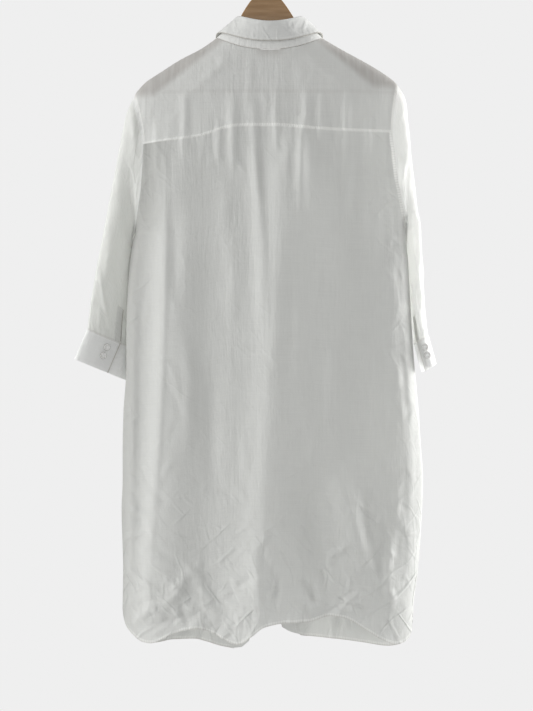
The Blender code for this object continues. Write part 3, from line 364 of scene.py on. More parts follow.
def neck_point(angle):
    """The neck seam. 0 is centre back, 90 a shoulder, 180 centre front."""
    angle = np.asarray(angle, float)
    s, c = np.sin(np.radians(angle)), np.cos(np.radians(angle))
    behind = c >= 0
    power = np.where(behind, 1 / 1.1, 1 / 1.3)
    x = NECK_X + NECK_HALF * np.sign(s) * np.abs(s) ** power
    drop = np.where(behind, NECK_DROP_BACK, NECK_DROP_FRONT)
    z = NECK_TOP - drop * c * c
    y = np.where(behind, back_y(x, z), front_y(x, z))
    return np.stack(np.broadcast_arrays(x, y, z), -1)


FORWARD_ANGLE = 90 + math.degrees(math.asin(math.sqrt(18.0 / NECK_DROP_FRONT)))


def front_neck_z(x):
    """Height of the front neck seam over x."""
    share = np.clip(np.abs(x - NECK_X) / NECK_HALF, 0, 1) ** 1.3
    return NECK_TOP - NECK_DROP_FRONT * (1 - share * share)


# ------------------------------------------------------------------ armholes
def armhole_x(side, face, z):
    rows = ARMHOLE_LEFT if side < 0 else ARMHOLE_RIGHT
    top = TIP[side]
    under = UNDERARM_LEFT if side < 0 else UNDERARM_RIGHT
    zs = [under] + [r[0] for r in reversed(rows)] + [top[1]]
    k = 1 if face == "back" else 2
    xs = [float(body("left" if side < 0 else "right", under))]
    xs += [r[k] for r in reversed(rows)] + [top[0]]
    return through(zs, xs, z)


def tip_of(side):
    """Where the armhole crosses the shoulder line: x and z."""
    x = -222.6 if side < 0 else 225.0
    return (x, float(shoulder(x)))


TIP = {-1: tip_of(-1), 1: tip_of(1)}


def spaced(n, bias=0.0):
    """n + 1 shares from 0 to 1, closer together at both ends as bias grows."""
    s = np.linspace(0, 1, n + 1)
    return bias * (1 - np.cos(np.pi * s)) / 2 + (1 - bias) * s


def polyline_at(points, shares):
    """Points at shares of the length of a line, with its corners kept soft."""
    points = np.asarray(points, float)
    run = np.concatenate([[0], np.cumsum(np.linalg.norm(np.diff(points, axis=0), axis=1))])
    return np.stack([through(run, points[:, k], np.asarray(shares) * run[-1]) for k in range(points.shape[1])], -1)


def coons(top, bottom, left, right):
    """The (x, z) grid between four edges. Rows run from top to bottom."""
    m, n = len(left), len(top)
    v, u = np.linspace(0, 1, m)[:, None, None], None
    # Shares follow the edges' own spacing, so a fine edge keeps its spacing.
    su_top = share_along(top)
    su_bottom = share_along(bottom)
    sv_left = share_along(left)
    sv_right = share_along(right)
    v0 = np.linspace(0, 1, m)[:, None]
    u = (1 - v0) * su_top[None] + v0 * su_bottom[None]
    u0 = np.linspace(0, 1, n)[None]
    v = (1 - u0) * sv_left[:, None] + u0 * sv_right[:, None]
    u, v = u[..., None], v[..., None]
    edges = (1 - v) * top[None] + v * bottom[None] + (1 - u) * left[:, None] + u * right[:, None]
    corners = (1 - u) * (1 - v) * top[0] + u * (1 - v) * top[-1] + (1 - u) * v * bottom[0] + u * v * bottom[-1]
    return edges - corners


def share_along(points):
    run = np.concatenate([[0], np.cumsum(np.linalg.norm(np.diff(points, axis=0), axis=1))])
    return run / run[-1]


# ------------------------------------------------------------------ panels as grids of points
YOKE_SEAM_SEGMENTS = 150
ARC_FRONT, ARC_BACK, ARC_YOKE = 9, 9, 20  # armhole steps: forward of the tip, behind it, down to the yoke seam
ARM_BACK_ROWS = 40
SIDE_ROWS = 200
NECK_COLUMNS = 26
ARM_FRONT_ROWS = ARM_BACK_ROWS + 16
YOKE_ROWS = 54


def yoke_edge(side):
    """The armhole edge of the yoke as (x, w): from the forward seam over the tip to the yoke seam."""
    tip_x, tip_z = TIP[side]
    seam_z = YOKE_SEAM[0][1] if side < 0 else YOKE_SEAM[-1][1]
    t = np.linspace(1, 0, ARC_FRONT + 1)[:-1]
    z = tip_z - FORWARD_SEAM * t * t
    x = armhole_x(side, "front", z)
    front = np.stack([x, shoulder(x) - z], -1)
    drop = 25.0
    t = np.linspace(0, 1, ARC_BACK + 1)
    z = tip_z - drop * t * t
    x = armhole_x(side, "back", z)
    back = np.stack([x, z - shoulder(x)], -1)
    z = np.linspace(tip_z - drop, seam_z, ARC_YOKE + 1)[1:]
    x = armhole_x(side, "back", z)
    down = np.stack([x, z - shoulder(x)], -1)
    back[0, 1] = 0.0
    return np.concatenate([front, back, down])


def yoke_grid():
    left, right = yoke_edge(-1), yoke_edge(1)[::-1]
    seam_x = left[-1, 0] + (right[0, 0] - left[-1, 0]) * spaced(YOKE_SEAM_SEGMENTS, 0.35)
    seam_z = through(column(YOKE_SEAM, YOKE_SEAM_COLUMNS, "x"), column(YOKE_SEAM, YOKE_SEAM_COLUMNS, "z"), seam_x)
    seam_z[0], seam_z[-1] = YOKE_SEAM[0][1], YOKE_SEAM[-1][1]
    seam = np.stack([seam_x, seam_z - shoulder(seam_x)], -1)
    outer = np.concatenate([left, seam[1:-1], right])
    # Angles of the neck seam that go with the points of the outer edge.
    step = ARC_FRONT
    side_front = FORWARD_ANGLE + (90 - FORWARD_ANGLE) * np.linspace(0, 1, step + 1)
    side_back = 90 - 34 * np.linspace(0, 1, ARC_BACK + ARC_YOKE + 1)[1:]
    middle = np.linspace(56, -56, YOKE_SEAM_SEGMENTS + 1)[1:]
    other = np.concatenate([-side_back[:-1][::-1], -side_front[::-1]])
    angles = np.concatenate([side_front, side_back, middle, other])
    p = neck_point(-angles)
    w = np.where(np.abs(angles) > 90.001, shoulder(p[:, 0]) - p[:, 2], p[:, 2] - shoulder(p[:, 0]))
    w[np.isclose(np.abs(angles), 90)] = 0.0
    inner = np.stack([p[:, 0], w], -1)
    r = through((0, 0.5, 1), (0, 0.54, 1), np.linspace(0, 1, YOKE_ROWS + 1))[:, None, None]
    grid = (1 - r) * inner[None] + r * outer[None]
    return over_shoulder(grid[..., 0], grid[..., 1])


def within(xz, margin=2.4):
    """Keeps the points between a panel's side seams off the rounded sides themselves."""
    xz = np.array(xz, float)
    z = xz[:, 1:-1, 1]
    low = z < UNDERARM_LEFT - 10
    x = xz[:, 1:-1, 0]
    column_number = np.arange(1, xz.shape[1] - 1)
    from_side = np.minimum(column_number, column_number[::-1])
    margin = np.minimum(0.3 * from_side, margin)[None]
    kept = np.clip(x, body("left", z) + margin, body("right", z) - margin)
    xz[:, 1:-1, 0] = np.where(low, kept, x)
    return xz


def on_back(xz):
    xz = within(xz)
    return np.stack([xz[..., 0], back_y(xz[..., 0], xz[..., 1]), xz[..., 1]], -1)


def on_front(xz):
    xz = within(xz)
    return np.stack([xz[..., 0], front_y(xz[..., 0], xz[..., 1]), xz[..., 1]], -1)


def side_edge(side, face):
    """Armhole and side seam as (x, z), from the top of the panel to the hem's corner."""
    tip_z = TIP[side][1]
    under, end = (UNDERARM_LEFT, HEM_TOP_LEFT) if side < 0 else (UNDERARM_RIGHT, HEM_TOP_RIGHT)
    if face == "back":
        start, rows = (YOKE_SEAM[0][1] if side < 0 else YOKE_SEAM[-1][1]), ARM_BACK_ROWS
    else:
        start, rows = tip_z - FORWARD_SEAM, ARM_FRONT_ROWS
    z = np.linspace(start, under, rows + 1)
    arm = np.stack([armhole_x(side, face, z), z], -1)
    z = np.linspace(under, end, SIDE_ROWS + 1)[1:]
    seam = np.stack([body("left" if side < 0 else "right", z), z], -1)
    return np.concatenate([arm, seam])


def hem_line(rows, start, end, n, bias):
    points = ([start] if start is not None else []) + [r for r in rows] + ([end] if end is not None else [])
    return polyline_at(points, spaced(n, bias))


def back_grid(yoke):
    top = np.stack([yoke[-1, ARC_FRONT + ARC_BACK + ARC_YOKE :][: YOKE_SEAM_SEGMENTS + 1, k] for k in (0, 2)], -1)
    left, right = side_edge(-1, "back"), side_edge(1, "back")
    bottom = hem_line(HEM_BACK, left[-1], right[-1], YOKE_SEAM_SEGMENTS, 0.35)
    return on_back(coons(top, bottom, left, right))


def band_shift(side, z):
    """How far a front has swung away from the centre line below the last button."""
    spread = SPREAD_LEFT if side < 0 else SPREAD_RIGHT
    end = -1165.0
    t = np.clip((LAST_BUTTON - 12 - z) / (LAST_BUTTON - 12 - end), 0, 1.1)
    return side * spread * t ** 1.5


def band_seam_x(side, z):
    return CENTRE_FRONT + side * BAND_WIDTH / 2 + band_shift(side, z)


def front_grid(side, yoke):
    """Rows from the neck and forward seam to the hem; columns from the side to the band."""
    forward = yoke[:, 0] if side < 0 else yoke[:, -1]  # neck to armhole
    seam = forward[::-1][:, [0, 2]]
    band_x = CENTRE_FRONT + side * BAND_WIDTH / 2
    x = np.linspace(seam[-1, 0], band_x, NECK_COLUMNS + 1)[1:]
    top = np.concatenate([seam, np.stack([x, front_neck_z(x)], -1)])
    edge = side_edge(side, "front")
    edge[0] = seam[0]
    rows = HEM_FRONT_LEFT if side < 0 else HEM_FRONT_RIGHT[::-1]
    hem_z = -1189.0 if side < 0 else -1165.5
    hem_end = (float(band_seam_x(side, hem_z)), hem_z)
    n = len(top) - 1
    bottom = hem_line(rows, edge[-1], hem_end, n, 0.25)
    m = len(edge) - 1
    z = top[-1, 1] + (bottom[-1, 1] - top[-1, 1]) * np.linspace(0, 1, m + 1)
    inner = np.stack([band_seam_x(side, z), z], -1)
    return on_front(coons(top, bottom, edge, inner))


def fine_band(side, front, columns=9):
    """The band sewn to a front's edge. The wearer's right (+X) laps over the left."""
    seam = front[:, -1]
    f = np.linspace(0, 1, columns + 1)[None, :, None]
    x = seam[:, None, 0:1] - side * BAND_WIDTH * f
    z = np.repeat(seam[:, None, 2:3], columns + 1, axis=1).copy()
    z[0, :, 0] = front_neck_z(x[0, :, 0])
    # The ends' slant fades out over the rows next to them.
    rows = len(seam)
    fade = ease((14 - np.arange(rows)) / 14)[:, None]
    z[..., 0] = seam[:, 2:3] + (z[0, :, 0] - seam[0, 2])[None] * fade
    rise = through((0, 0.5, 1), (0, 4.0 if side > 0 else 1.0, 12.0), f[0, :, 0])
    fade = ease((np.arange(rows) - (rows - 9)) / 8)[:, None]
    z[..., 0] += rise[None] * fade
    lift = BAND_STEP * f * (1 if side > 0 else -1)
    return np.concatenate([x, front_y(x, z) + lift, z], -1)


# ------------------------------------------------------------------ sleeves
def sleeve_rows(side):
    return SLEEVE_LEFT if side < 0 else SLEEVE_RIGHT


def section(rows, v, theta, grow=0.0):
    """A point round a flattened tube. theta 0 is the outer fold line, 90 the back."""
    v, theta = np.broadcast_arrays(np.asarray(v, float), np.radians(theta))
    at = {n: through(column(rows, SLEEVE_COLUMNS, "v"), column(rows, SLEEVE_COLUMNS, n), v) for n in SLEEVE_COLUMNS[1:]}
    outer = np.stack([at["ox"], at["oy"], at["oz"]], -1)
    inner = np.stack([at["ix"], at["iy"], at["iz"]], -1)
    middle, arm = (outer + inner) / 2, (outer - inner) / 2
    length = np.linalg.norm(arm, axis=-1, keepdims=True)
    arm_unit = arm / length
    back = np.array([0.0, -1.0, 0.0]) - arm_unit * (-arm_unit[..., 1:2])
    back /= np.linalg.norm(back, axis=-1, keepdims=True)
    half = at["half"][..., None]
    c, s = np.cos(theta)[..., None], np.sin(theta)[..., None]
    return middle + arm_unit * (length + grow) * c + back * (half + grow) * s


def clear_of_body(p, side, v):
    """Moves the points of a sleeve that would pass through the side of the body off it."""
    x, y, z = p[..., 0], p[..., 1], p[..., 2]
    under = UNDERARM_LEFT if side < 0 else UNDERARM_RIGHT
    outline = body("left" if side < 0 else "right", z)
    edge = np.where(z > under, armhole_x(side, "front", z), outline)
    room = SLEEVE_ROOM * ease(v / 0.1)
    inside = (x - edge) * (-side)
    on = front_y(edge + np.maximum(inside, 0) * (-side), z)
    limit = np.where(inside > 0, on + room, on + room + 1.3 * inside)
    fade = np.where(y > 0, 1.0, ease((under + 8 - z) / 22))
    q = p.copy()
    q[..., 1] = y + (np.maximum(y, limit) - y) * fade
    # The back half passes outside the rounded side of the back.
    depth = np.clip(-q[..., 1] / body("back", z), 0, 0.999)
    middle = (body("left", z) + body("right", z)) / 2
    out = np.abs(outline - middle) * (1 - depth ** 2) ** (1 / 2.4) + room * 0.7
    behind = ease(-q[..., 1] / 3) * ease((under + 26 - z) / 20)
    short = np.maximum(out - (x - middle) * side, 0) * side
    q[..., 0] = x + short * behind
    return q


def armhole_loop(side, yoke, back, front):
    """The armhole from the tip, down the back, round the underarm and up the front."""
    outer = yoke[-1] if side < 0 else yoke[-1][::-1]
    over = outer[: ARC_FRONT + ARC_BACK + ARC_YOKE + 1]
    back_edge = (back[:, 0] if side < 0 else back[:, -1])[: ARM_BACK_ROWS + 1]
    front_edge = front[: ARM_FRONT_ROWS + 1, 0]
    return np.concatenate([over[ARC_FRONT:], back_edge[1:], front_edge[:-1][::-1], over[1:ARC_FRONT]])


SLEEVE_V = np.linspace(0, 1, 141)


def sleeve_grid(side, loop):
    """Rows from armhole to cuff, columns round the sleeve."""
    rows = sleeve_rows(side)
    n = len(loop)
    top, bottom = rows[0][3], rows[0][6]
    share = np.clip((loop[:, 2] - (top + bottom) / 2) / ((top - bottom) / 2), -1, 1)
    first = np.degrees(np.arccos(share))
    under = int(np.argmin(loop[:, 2]))
    first[under:] = 360 - first[under:]
    first[0], first[under] = 0.0, 180.0
    last = np.interp(np.arange(n), [0, under, n], [0, 180, 360])
    v = SLEEVE_V[:, None]
    theta = first[None] + (last - first)[None] * ease(v / 0.6)
    grid = section(rows, np.repeat(v, n, axis=1), theta)
    fade = 1 - ease(v / 0.3)
    grid = grid + (loop - grid[0])[None] * fade[..., None]
    body_side = clear_of_body(grid, side, np.repeat(v, n, axis=1))
    body_side[0] = loop
    return body_side


def cuff_grid(side, columns=28, rows=2):
    """Columns from the underlap's end round the wrist to the overlap's edge."""
    table = CUFF_LEFT if side < 0 else CUFF_RIGHT
    _, overlap, underlap = CUFF_LAP_LEFT if side < 0 else CUFF_LAP_RIGHT
    theta = underlap + (overlap + 360 - underlap) * np.linspace(0, 1, columns + 1)
    proud = CUFF_PROUD - CUFF_UNDER * (1 - ease((theta - overlap - 3) / 16))
    start = 0.0095
    q = np.linspace(start, 1, rows + 1)
    return section(table, np.repeat(q[:, None], columns + 1, axis=1), np.repeat(theta[None], rows + 1, axis=0), np.repeat(proud[None], rows + 1, axis=0)[..., None])


def normals_of(grid, wrap=False):
    """Unit normals of a grid from its own lines."""
    if wrap:
        du = np.roll(grid, -1, 1) - np.roll(grid, 1, 1)
    else:
        du = np.gradient(grid, axis=1)
    dv = np.gradient(grid, axis=0)
    n = np.cross(du, dv)
    length = np.linalg.norm(n, axis=-1, keepdims=True)
    return n / np.maximum(length, 1e-12)


def sleeve_placket_grid(side, rows=5, columns=2):
    """The strip over the sleeve's opening, up from the cuff."""
    overlap = (CUFF_LAP_LEFT if side < 0 else CUFF_LAP_RIGHT)[1]
    table = sleeve_rows(side)
    v = np.linspace(SLEEVE_PLACKET_START, 0.992, rows + 1)
    edge = section(table, v, np.full_like(v, overlap))
    # Step back round the sleeve until the strip has its width.
    fine = np.linspace(overlap, overlap - 80, 161)
    run = section(table, np.repeat(v[:, None], 161, 1), np.repeat(fine[None], rows + 1, 0))
    length = np.concatenate([np.zeros((rows + 1, 1)), np.cumsum(np.linalg.norm(np.diff(run, axis=1), axis=-1), axis=1)], axis=1)
    shares = np.linspace(0, 1, columns + 1) * SLEEVE_PLACKET_WIDTH
    theta = np.stack([np.interp(shares, length[i], fine) for i in range(rows + 1)])
    grid = section(table, np.repeat(v[:, None], columns + 1, 1), theta)
    return grid


# ------------------------------------------------------------------ collar
def fold_point(angle):
    angle = np.asarray(angle, float)
    s, c = np.sin(np.radians(angle)), np.cos(np.radians(angle))
    r = FOLD_RING
    z = r["side_z"] - np.where(c >= 0, r["back"], r["front"]) * c * c
    return np.stack(np.broadcast_arrays(r["x"] + r["half_x"] * s, -r["half_y"] * c, z), -1)


def outward(angle):
    s, c = np.sin(np.radians(angle)), np.cos(np.radians(angle))
    n = np.stack(np.broadcast_arrays(0.75 * s, -c, 0.7 * s * s), -1)
    return n / np.linalg.norm(n, axis=-1, keepdims=True)


def collar_point(angle, t, out):
    """angle round the neck, t up from the neck seam to the fold, out from the stand."""
    angle, t, out = np.broadcast_arrays(np.asarray(angle, float), t, out)
    base, top = neck_point(angle), fold_point(angle)
    tt = t[..., None]
    up = base + (top - base) * tt
    z = base[..., 2] + 47.0 * t
    x = base[..., 0]
    below = np.stack([x, np.where(np.abs(angle) > 90, front_y(x, z), back_y(x, z)), z], -1)
    p = np.where(tt >= 0, up, below)
    return p + outward(angle) * out[..., None]


def lap_out(angle):
    """The stand's ends lap at the front as the bands do."""
    angle = np.asarray(angle, float)
    past = np.clip((np.abs(angle) - (180 - LAP_ANGLE)) / (2 * LAP_ANGLE), 0, 1)
    return BAND_STEP * past * np.sign(angle)


LAP_ANGLE = math.degrees(math.asin((BAND_WIDTH / 2 / NECK_HALF) ** 1.3))


def stand_grid(columns=34, rows=2):
    angle = np.linspace(-(180 + LAP_ANGLE), 180 + LAP_ANGLE, columns + 1)
    t = np.linspace(0.012, STAND_HEIGHT, rows + 1)[:, None]
    return collar_point(np.repeat(angle[None], rows + 1, 0), np.repeat(t, columns + 1, 1), np.repeat(lap_out(angle)[None], rows + 1, 0))


def leaf_grid(columns=34, inner_rows=1, roll_rows=3, outer_rows=3):
    """Rows from the stand's top over the fold to the fall's lower edge."""
    rows = []
    start = STAND_HEIGHT + 0.012
    for k in range(inner_rows + 1):
        rows.append((0.0, start + (FOLD_T - start) * k / inner_rows, -BAND_WALL, 0.0))
    for k in range(1, roll_rows + 1):
        a = math.pi * k / (roll_rows + 1)
        rows.append((0.0, FOLD_T + math.sin(a) * 0.05, ROLL * (1 - math.cos(a)) - BAND_WALL, 0.0))
    for k in range(outer_rows + 1):
        rows.append((k / outer_rows, FOLD_T, 2 * ROLL - BAND_WALL, 1.0))
    out_grid = []
    for share, t, out, falling in rows:
        end = 176.0 - 20.0 * share
        angle = np.linspace(-end, end, columns + 1)
        edge = through([r[0] for r in FALL], [r[1] for r in FALL], np.abs(angle))
        tt = np.full_like(angle, t) if not falling else t + (edge - t) * share
        oo = out + (FALL_OUT + 2.0 - out) * share if falling else out
        if falling:
            front = ease((np.abs(angle) - 100) / 40)
            oo = oo + front * 3.2 * share + front * 0.9
        out_grid.append(collar_point(angle, tt, np.full_like(angle, 0.0) + oo))
    return np.stack(out_grid)



# ------------------------------------------------------------------ cloth for looking at
SHELL = 0.9  # thickness of one layer, mm
BAND_SHELL = 1.5
LEAF_SHELL = 1.3
MM = 0.001


def bezier(x1, z1, x2, z2, x3, z3, n=9):
    """A curve through three points, as n points in (x, z)."""
    t = np.linspace(0, 1, n)[:, None]
    a, b, c = np.array([x1, z1], float), np.array([x2, z2], float), np.array([x3, z3], float)
    m = 2 * b - (a + c) / 2
    return (1 - t) ** 2 * a + 2 * t * (1 - t) * m + t * t * c


def creases(rows, x, z):
    """Soft ridges and troughs along short curves, tapering at both ends."""
    shape = np.broadcast(x, z).shape
    x, z = np.broadcast_to(x, shape), np.broadcast_to(z, shape)
    total = np.zeros(shape)
    for x1, z1, x2, z2, x3, z3, height, left, right in rows:
        line = bezier(x1, z1, x2, z2, x3, z3)
        reach = 3.2 * max(left, right)
        near = (
            (x > line[:, 0].min() - reach)
            & (x < line[:, 0].max() + reach)
            & (z > line[:, 1].min() - reach)
            & (z < line[:, 1].max() + reach)
        )
        if not near.any():
            continue
        px, pz = x[near], z[near]
        best = np.full(px.shape, 1e9)
        side = np.zeros(px.shape)
        along = np.zeros(px.shape)
        count = len(line) - 1
        for k in range(count):
            ax, az = line[k]
            dx, dz = line[k + 1] - line[k]
            size = dx * dx + dz * dz
            t = ((px - ax) * dx + (pz - az) * dz) / size
            inner = np.clip(t, 0.0, 1.0)
            ex, ez = px - ax - inner * dx, pz - az - inner * dz
            d = ex * ex + ez * ez
            better = d < best
            best = np.where(better, d, best)
            # Positive to the left of a line that runs down.
            side = np.where(better, -(dx * ez - dz * ex), side)
            along = np.where(better, (k + inner) / count, along)
        width = np.where(side > 0, left, right)
        taper = np.sin(np.pi * np.clip(along, 0.0, 1.0)) ** 0.7
        total[near] += height * np.exp(-best / (width * width)) * taper
    return total


def hashed(k, salt):
    """A fixed number from 0 to 1 for each k."""
    v = np.sin(np.asarray(k, float) * 12.9898 + salt * 78.233) * 43758.5453
    return v - np.floor(v)


def small_creases(count, salt, area, length, width, height, lean):
    """Rows of small creases spread unevenly over an area (x0, x1, z0, z1)."""
    x0, x1, z0, z1 = area
    rows = []
    for k in range(count):
        cx = x0 + (x1 - x0) * hashed(k, salt)
        cz = z0 + (z1 - z0) * hashed(k, salt + 1)
        a = math.radians(lean[0] + (lean[1] - lean[0]) * hashed(k, salt + 2))
        half = length * (0.5 + hashed(k, salt + 3)) / 2
        bow = half * 0.5 * (hashed(k, salt + 4) - 0.5)
        h = height * (0.35 + 0.9 * hashed(k, salt + 5)) * (1 if hashed(k, salt + 6) > 0.45 else -0.8)
        w = width * (0.6 + 0.8 * hashed(k, salt + 7))
        dx, dz = math.sin(a), -math.cos(a)
        rows.append((cx - dx * half, cz - dz * half, cx - dz * bow, cz + dx * bow, cx + dx * half, cz + dz * half, h, w, w * (0.7 + 0.7 * hashed(k, salt + 8))))
    return rows


BACK_CREASES = (
    # beside and between the long folds
    (-20, -330, -8, -470, -4, -640, 4.2, 12, 9),
    (61, -316, 60, -380, 62, -450, 4.0, 9, 11),
    (137, -316, 138, -380, 134, -460, 3.4, 9, 10),
    (-70, -390, -68, -440, -72, -520, 1.6, 9, 18),
    (-55, -470, -54, -550, -58, -640, 1.6, 9, 18),
    (-150, -420, -152, -520, -148, -600, -3.0, 10, 12),
    (44, -480, 40, -620, 30, -760, -2.6, 14, 16),
    (176, -400, 180, -470, 176, -560, 2.6, 12, 12),
    (92, -640, 96, -720, 88, -820, 2.2, 14, 12),
    (-132, -640, -128, -740, -130, -860, 2.4, 12, 12),
    (-86, -700, -90, -820, -84, -930, -2.2, 12, 14),
    (-170, -320, -172, -700, -199, -1100, 2.4, 15, 5),
    (-96, -470, -98, -800, -96, -1110, 3.6, 34, 36),
    # puckers beside the armhole seams
    (226, -225, 221, -262, 215, -302, 3.0, 4, 4),
    (213, -300, 219, -350, 226, -397, 3.5, 3, 5),
    (226, -390, 234, -440, 240, -490, 3.0, 3, 5),
    (-219, -236, -217, -270, -213, -300, 2.0, 4, 4),
    # beside the right-hand seam
    (217, -326, 229, -490, 236, -640, 2.4, 6, 9),
    (205, -420, 216, -540, 224, -660, 1.2, 6, 8),
    (228, -600, 239, -690, 247, -800, 2.4, 6, 9),
    (222, -700, 232, -790, 236, -880, 1.6, 6, 8),
    # lower right
    (118, -866, 146, -960, 170, -1046, 4.0, 22, 15),
    (166, -905, 169, -985, 202, -1066, -3.0, 7, 8),
    (110, -1020, 125, -1012, 141, -998, 3.6, 5, 5),
    (56, -962, 64, -967, 74, -964, 3.0, 5, 5),
    (116, -1122, 138, -1100, 163, -1078, 5.0, 8, 7),
    (50, -1062, 76, -1084, 93, -1118, -4.0, 6, 7),
    (78, -1040, 90, -1082, 84, -1124, 3.4, 9, 7),
    (214, -980, 206, -1040, 214, -1110, 4.0, 8, 9),
    # lower left
    (-122, -1036, -104, -1082, -76, -1130, 3.2, 9, 11),
    (-122, -1036, -146, -1076, -180, -1122, 3.0, 10, 9),
    (-242, -944, -228, -947, -212, -943, 2.0, 5, 5),
    (-242, -996, -226, -992, -206, -998, 2.2, 5, 5),
    (-212, -471, -184, -474, -156, -470, 1.5, 5, 5),
    (-212, -694, -184, -691, -156, -696, 1.5, 5, 5),
    (-30, -1010, -12, -1060, -20, -1120, 3.0, 10, 10),
    (6, -1040, 16, -1080, 12, -1122, -2.4, 9, 9),
    # gathers that cross the yoke seam
    (-137, -236, -136, -290, -138, -350, 2.6, 6, 8),
    (-184, -285, -183, -325, -182, -385, 2.4, 6, 7),
    (-79, -285, -79, -320, -80, -365, 2.0, 5, 6),
    (-55, -238, -55, -300, -54, -372, 3.0, 7, 7),
    (-20, -255, -18, -330, -12, -430, 3.6, 8, 7),
    (18, -228, 18, -290, 20, -345, 2.6, 6, 6),
    (62, -280, 62, -330, 60, -410, 3.6, 7, 8),
    (70, -232, 69, -275, 68, -310, 2.6, 6, 6),
    (95, -240, 94, -285, 96, -330, 2.4, 6, 7),
    (139, -238, 138, -285, 139, -340, 2.8, 7, 7),
    (173, -280, 173, -320, 174, -372, 2.2, 6, 6),
    (112, -285, 113, -315, 112, -352, -1.6, 5, 5),
    # fuller side edges, as on a dress that hangs nearly flat
    (-222, -520, -226, -800, -228, -1130, 6.0, 14, 10),
    (236, -560, 246, -800, 242, -1120, 3.0, 8, 8),
    # yoke: faint pulls from the neck to the shoulders
    (-60, -176, -96, -214, -150, -262, 1.4, 9, 9),
    (70, -176, 110, -212, 166, -250, 1.4, 9, 9),
    (-20, -186, -24, -230, -22, -280, 1.2, 10, 8),
    (40, -186, 46, -226, 44, -276, -1.1, 10, 8),
)
FRONT_CREASES = (
    (-120, -330, -116, -420, -120, -520, 3.0, 11, 13),
    (-60, -520, -64, -640, -60, -760, 2.6, 12, 10),
    (-190, -560, -186, -700, -194, -860, 3.0, 12, 12),
    (-110, -900, -104, -1000, -120, -1110, 3.4, 12, 10),
    (-204, -930, -196, -1020, -208, -1110, 2.6, 9, 9),
    (70, -360, 74, -450, 68, -560, 2.8, 10, 12),
    (140, -420, 136, -520, 142, -620, -2.6, 12, 12),
    (196, -560, 200, -700, 194, -840, 3.0, 12, 10),
    (84, -880, 92, -980, 80, -1090, 3.2, 11, 11),
    (180, -960, 170, -1040, 184, -1120, 3.4, 10, 10),
    (-150, -300, -146, -340, -152, -400, 1.6, 5, 5),
    (120, -290, 124, -330, 118, -390, 1.6, 5, 5),
    (-90, -270, -120, -300, -160, -316, 1.6, 8, 8),
    (96, -262, 130, -290, 170, -300, 1.6, 8, 8),
)
CRUMPLE = (
    # count, salt, area, length, width, height, lean of the line from the vertical
    (54, 3, (-236, 245, -1165, -1050), 46, 5.5, 2.0, (-75, 75)),
    (42, 17, (-236, 245, -1060, -900), 50, 6.0, 1.5, (-60, 60)),
    (46, 31, (-228, 240, -900, -640), 52, 6.0, 0.9, (-40, 40)),
    (44, 47, (-214, 228, -640, -320), 50, 5.5, 0.8, (-28, 28)),
    (44, 59, (205, 262, -1120, -420), 34, 4.0, 1.6, (-40, 55)),
    (26, 71, (-244, -200, -1120, -560), 28, 4.5, 1.5, (30, 110)),
    (24, 83, (-190, 200, -300, -175), 44, 6.0, 0.55, (-60, 60)),
)
BACK_SMALL = [row for c in CRUMPLE for row in small_creases(*c)]
FRONT_SMALL = [row for c in CRUMPLE for row in small_creases(c[0], c[1] + 100, *c[2:])]


def fade_at_sides(u):
    return np.clip(1 - np.abs(u) ** 8, 0.0, 1.0) ** 0.5


def back_y(x, z):
    u = across(x, z)
    y = -(body("back", z) + folds(BACK_FOLDS, x, z)) * roundness(u)
    return y - (creases(BACK_CREASES, x, z) + creases(BACK_SMALL, x, z)) * fade_at_sides(u)


def front_y(x, z):
    u = across(x, z)
    y = (body("front", z) + folds(FRONT_FOLDS, x, z)) * roundness(u)
    return y + (creases(FRONT_CREASES, x, z) + creases(FRONT_SMALL, x, z)) * fade_at_sides(u)


# Creases on a sleeve, on the side of it that each table names.
SLEEVE_BACK_LEFT = (
    (-226, -262, -223, -300, -222, -350, 2.6, 6, 5),
    (-232, -400, -226, -440, -223, -478, -2.6, 5, 6),
    (-281, -530, -274, -590, -264, -640, 2.0, 3.4, 3.4),
    (-250, -350, -246, -410, -252, -470, 2.0, 8, 7),
    (-244, -470, -252, -520, -248, -580, -2.0, 7, 7),
    (-262, -470, -266, -520, -272, -560, 1.8, 6, 6),
    (-236, -598, -232, -618, -241, -650, 3.4, 5, 4),
    (-226, -590, -234, -622, -228, -652, -3.2, 4, 4),
    (-286, -600, -280, -622, -288, -640, 1.6, 5, 5),
    (-216, -500, -226, -520, -238, -530, 1.8, 5, 5),
)
SLEEVE_BACK_RIGHT = (
    (244, -316, 237, -356, 227, -400, 3.6, 5, 6),
    (252, -400, 258, -470, 262, -540, 2.4, 4, 5),
    (257, -430, 260, -510, 263, -600, 2.6, 3, 3),
    (247, -440, 250, -500, 255, -560, -2.2, 3, 3),
    (266, -470, 268, -540, 270, -620, 2.2, 3, 3),
    (251, -560, 257, -610, 262, -650, 2.6, 3, 3),
    (250, -330, 246, -372, 240, -410, 2.4, 6, 5),
    (246, -430, 254, -480, 252, -540, 2.0, 6, 6),
    (262, -520, 266, -570, 264, -620, -1.8, 5, 5),
    (258, -600, 262, -625, 268, -645, 1.8, 4, 4),
)
SLEEVE_SMALL_LEFT = small_creases(30, 121, (-300, -212, -660, -270), 30, 4.5, 0.9, (-80, 60))
SLEEVE_SMALL_RIGHT = small_creases(30, 141, (226, 284, -660, -270), 30, 4.5, 0.9, (-60, 80))
SLEEVE_FRONT_LEFT = small_creases(22, 161, (-300, -212, -660, -270), 60, 8.0, 1.8, (-70, 30))
SLEEVE_FRONT_RIGHT = small_creases(22, 181, (226, 284, -660, -270), 60, 8.0, 1.8, (-30, 70))
# The wide side of the right sleeve faces sideways, so its creases lie in y and z.
SLEEVE_SIDE_RIGHT = small_creases(26, 201, (-14, 82, -650, -270), 60, 8.0, 1.8, (-50, 50))


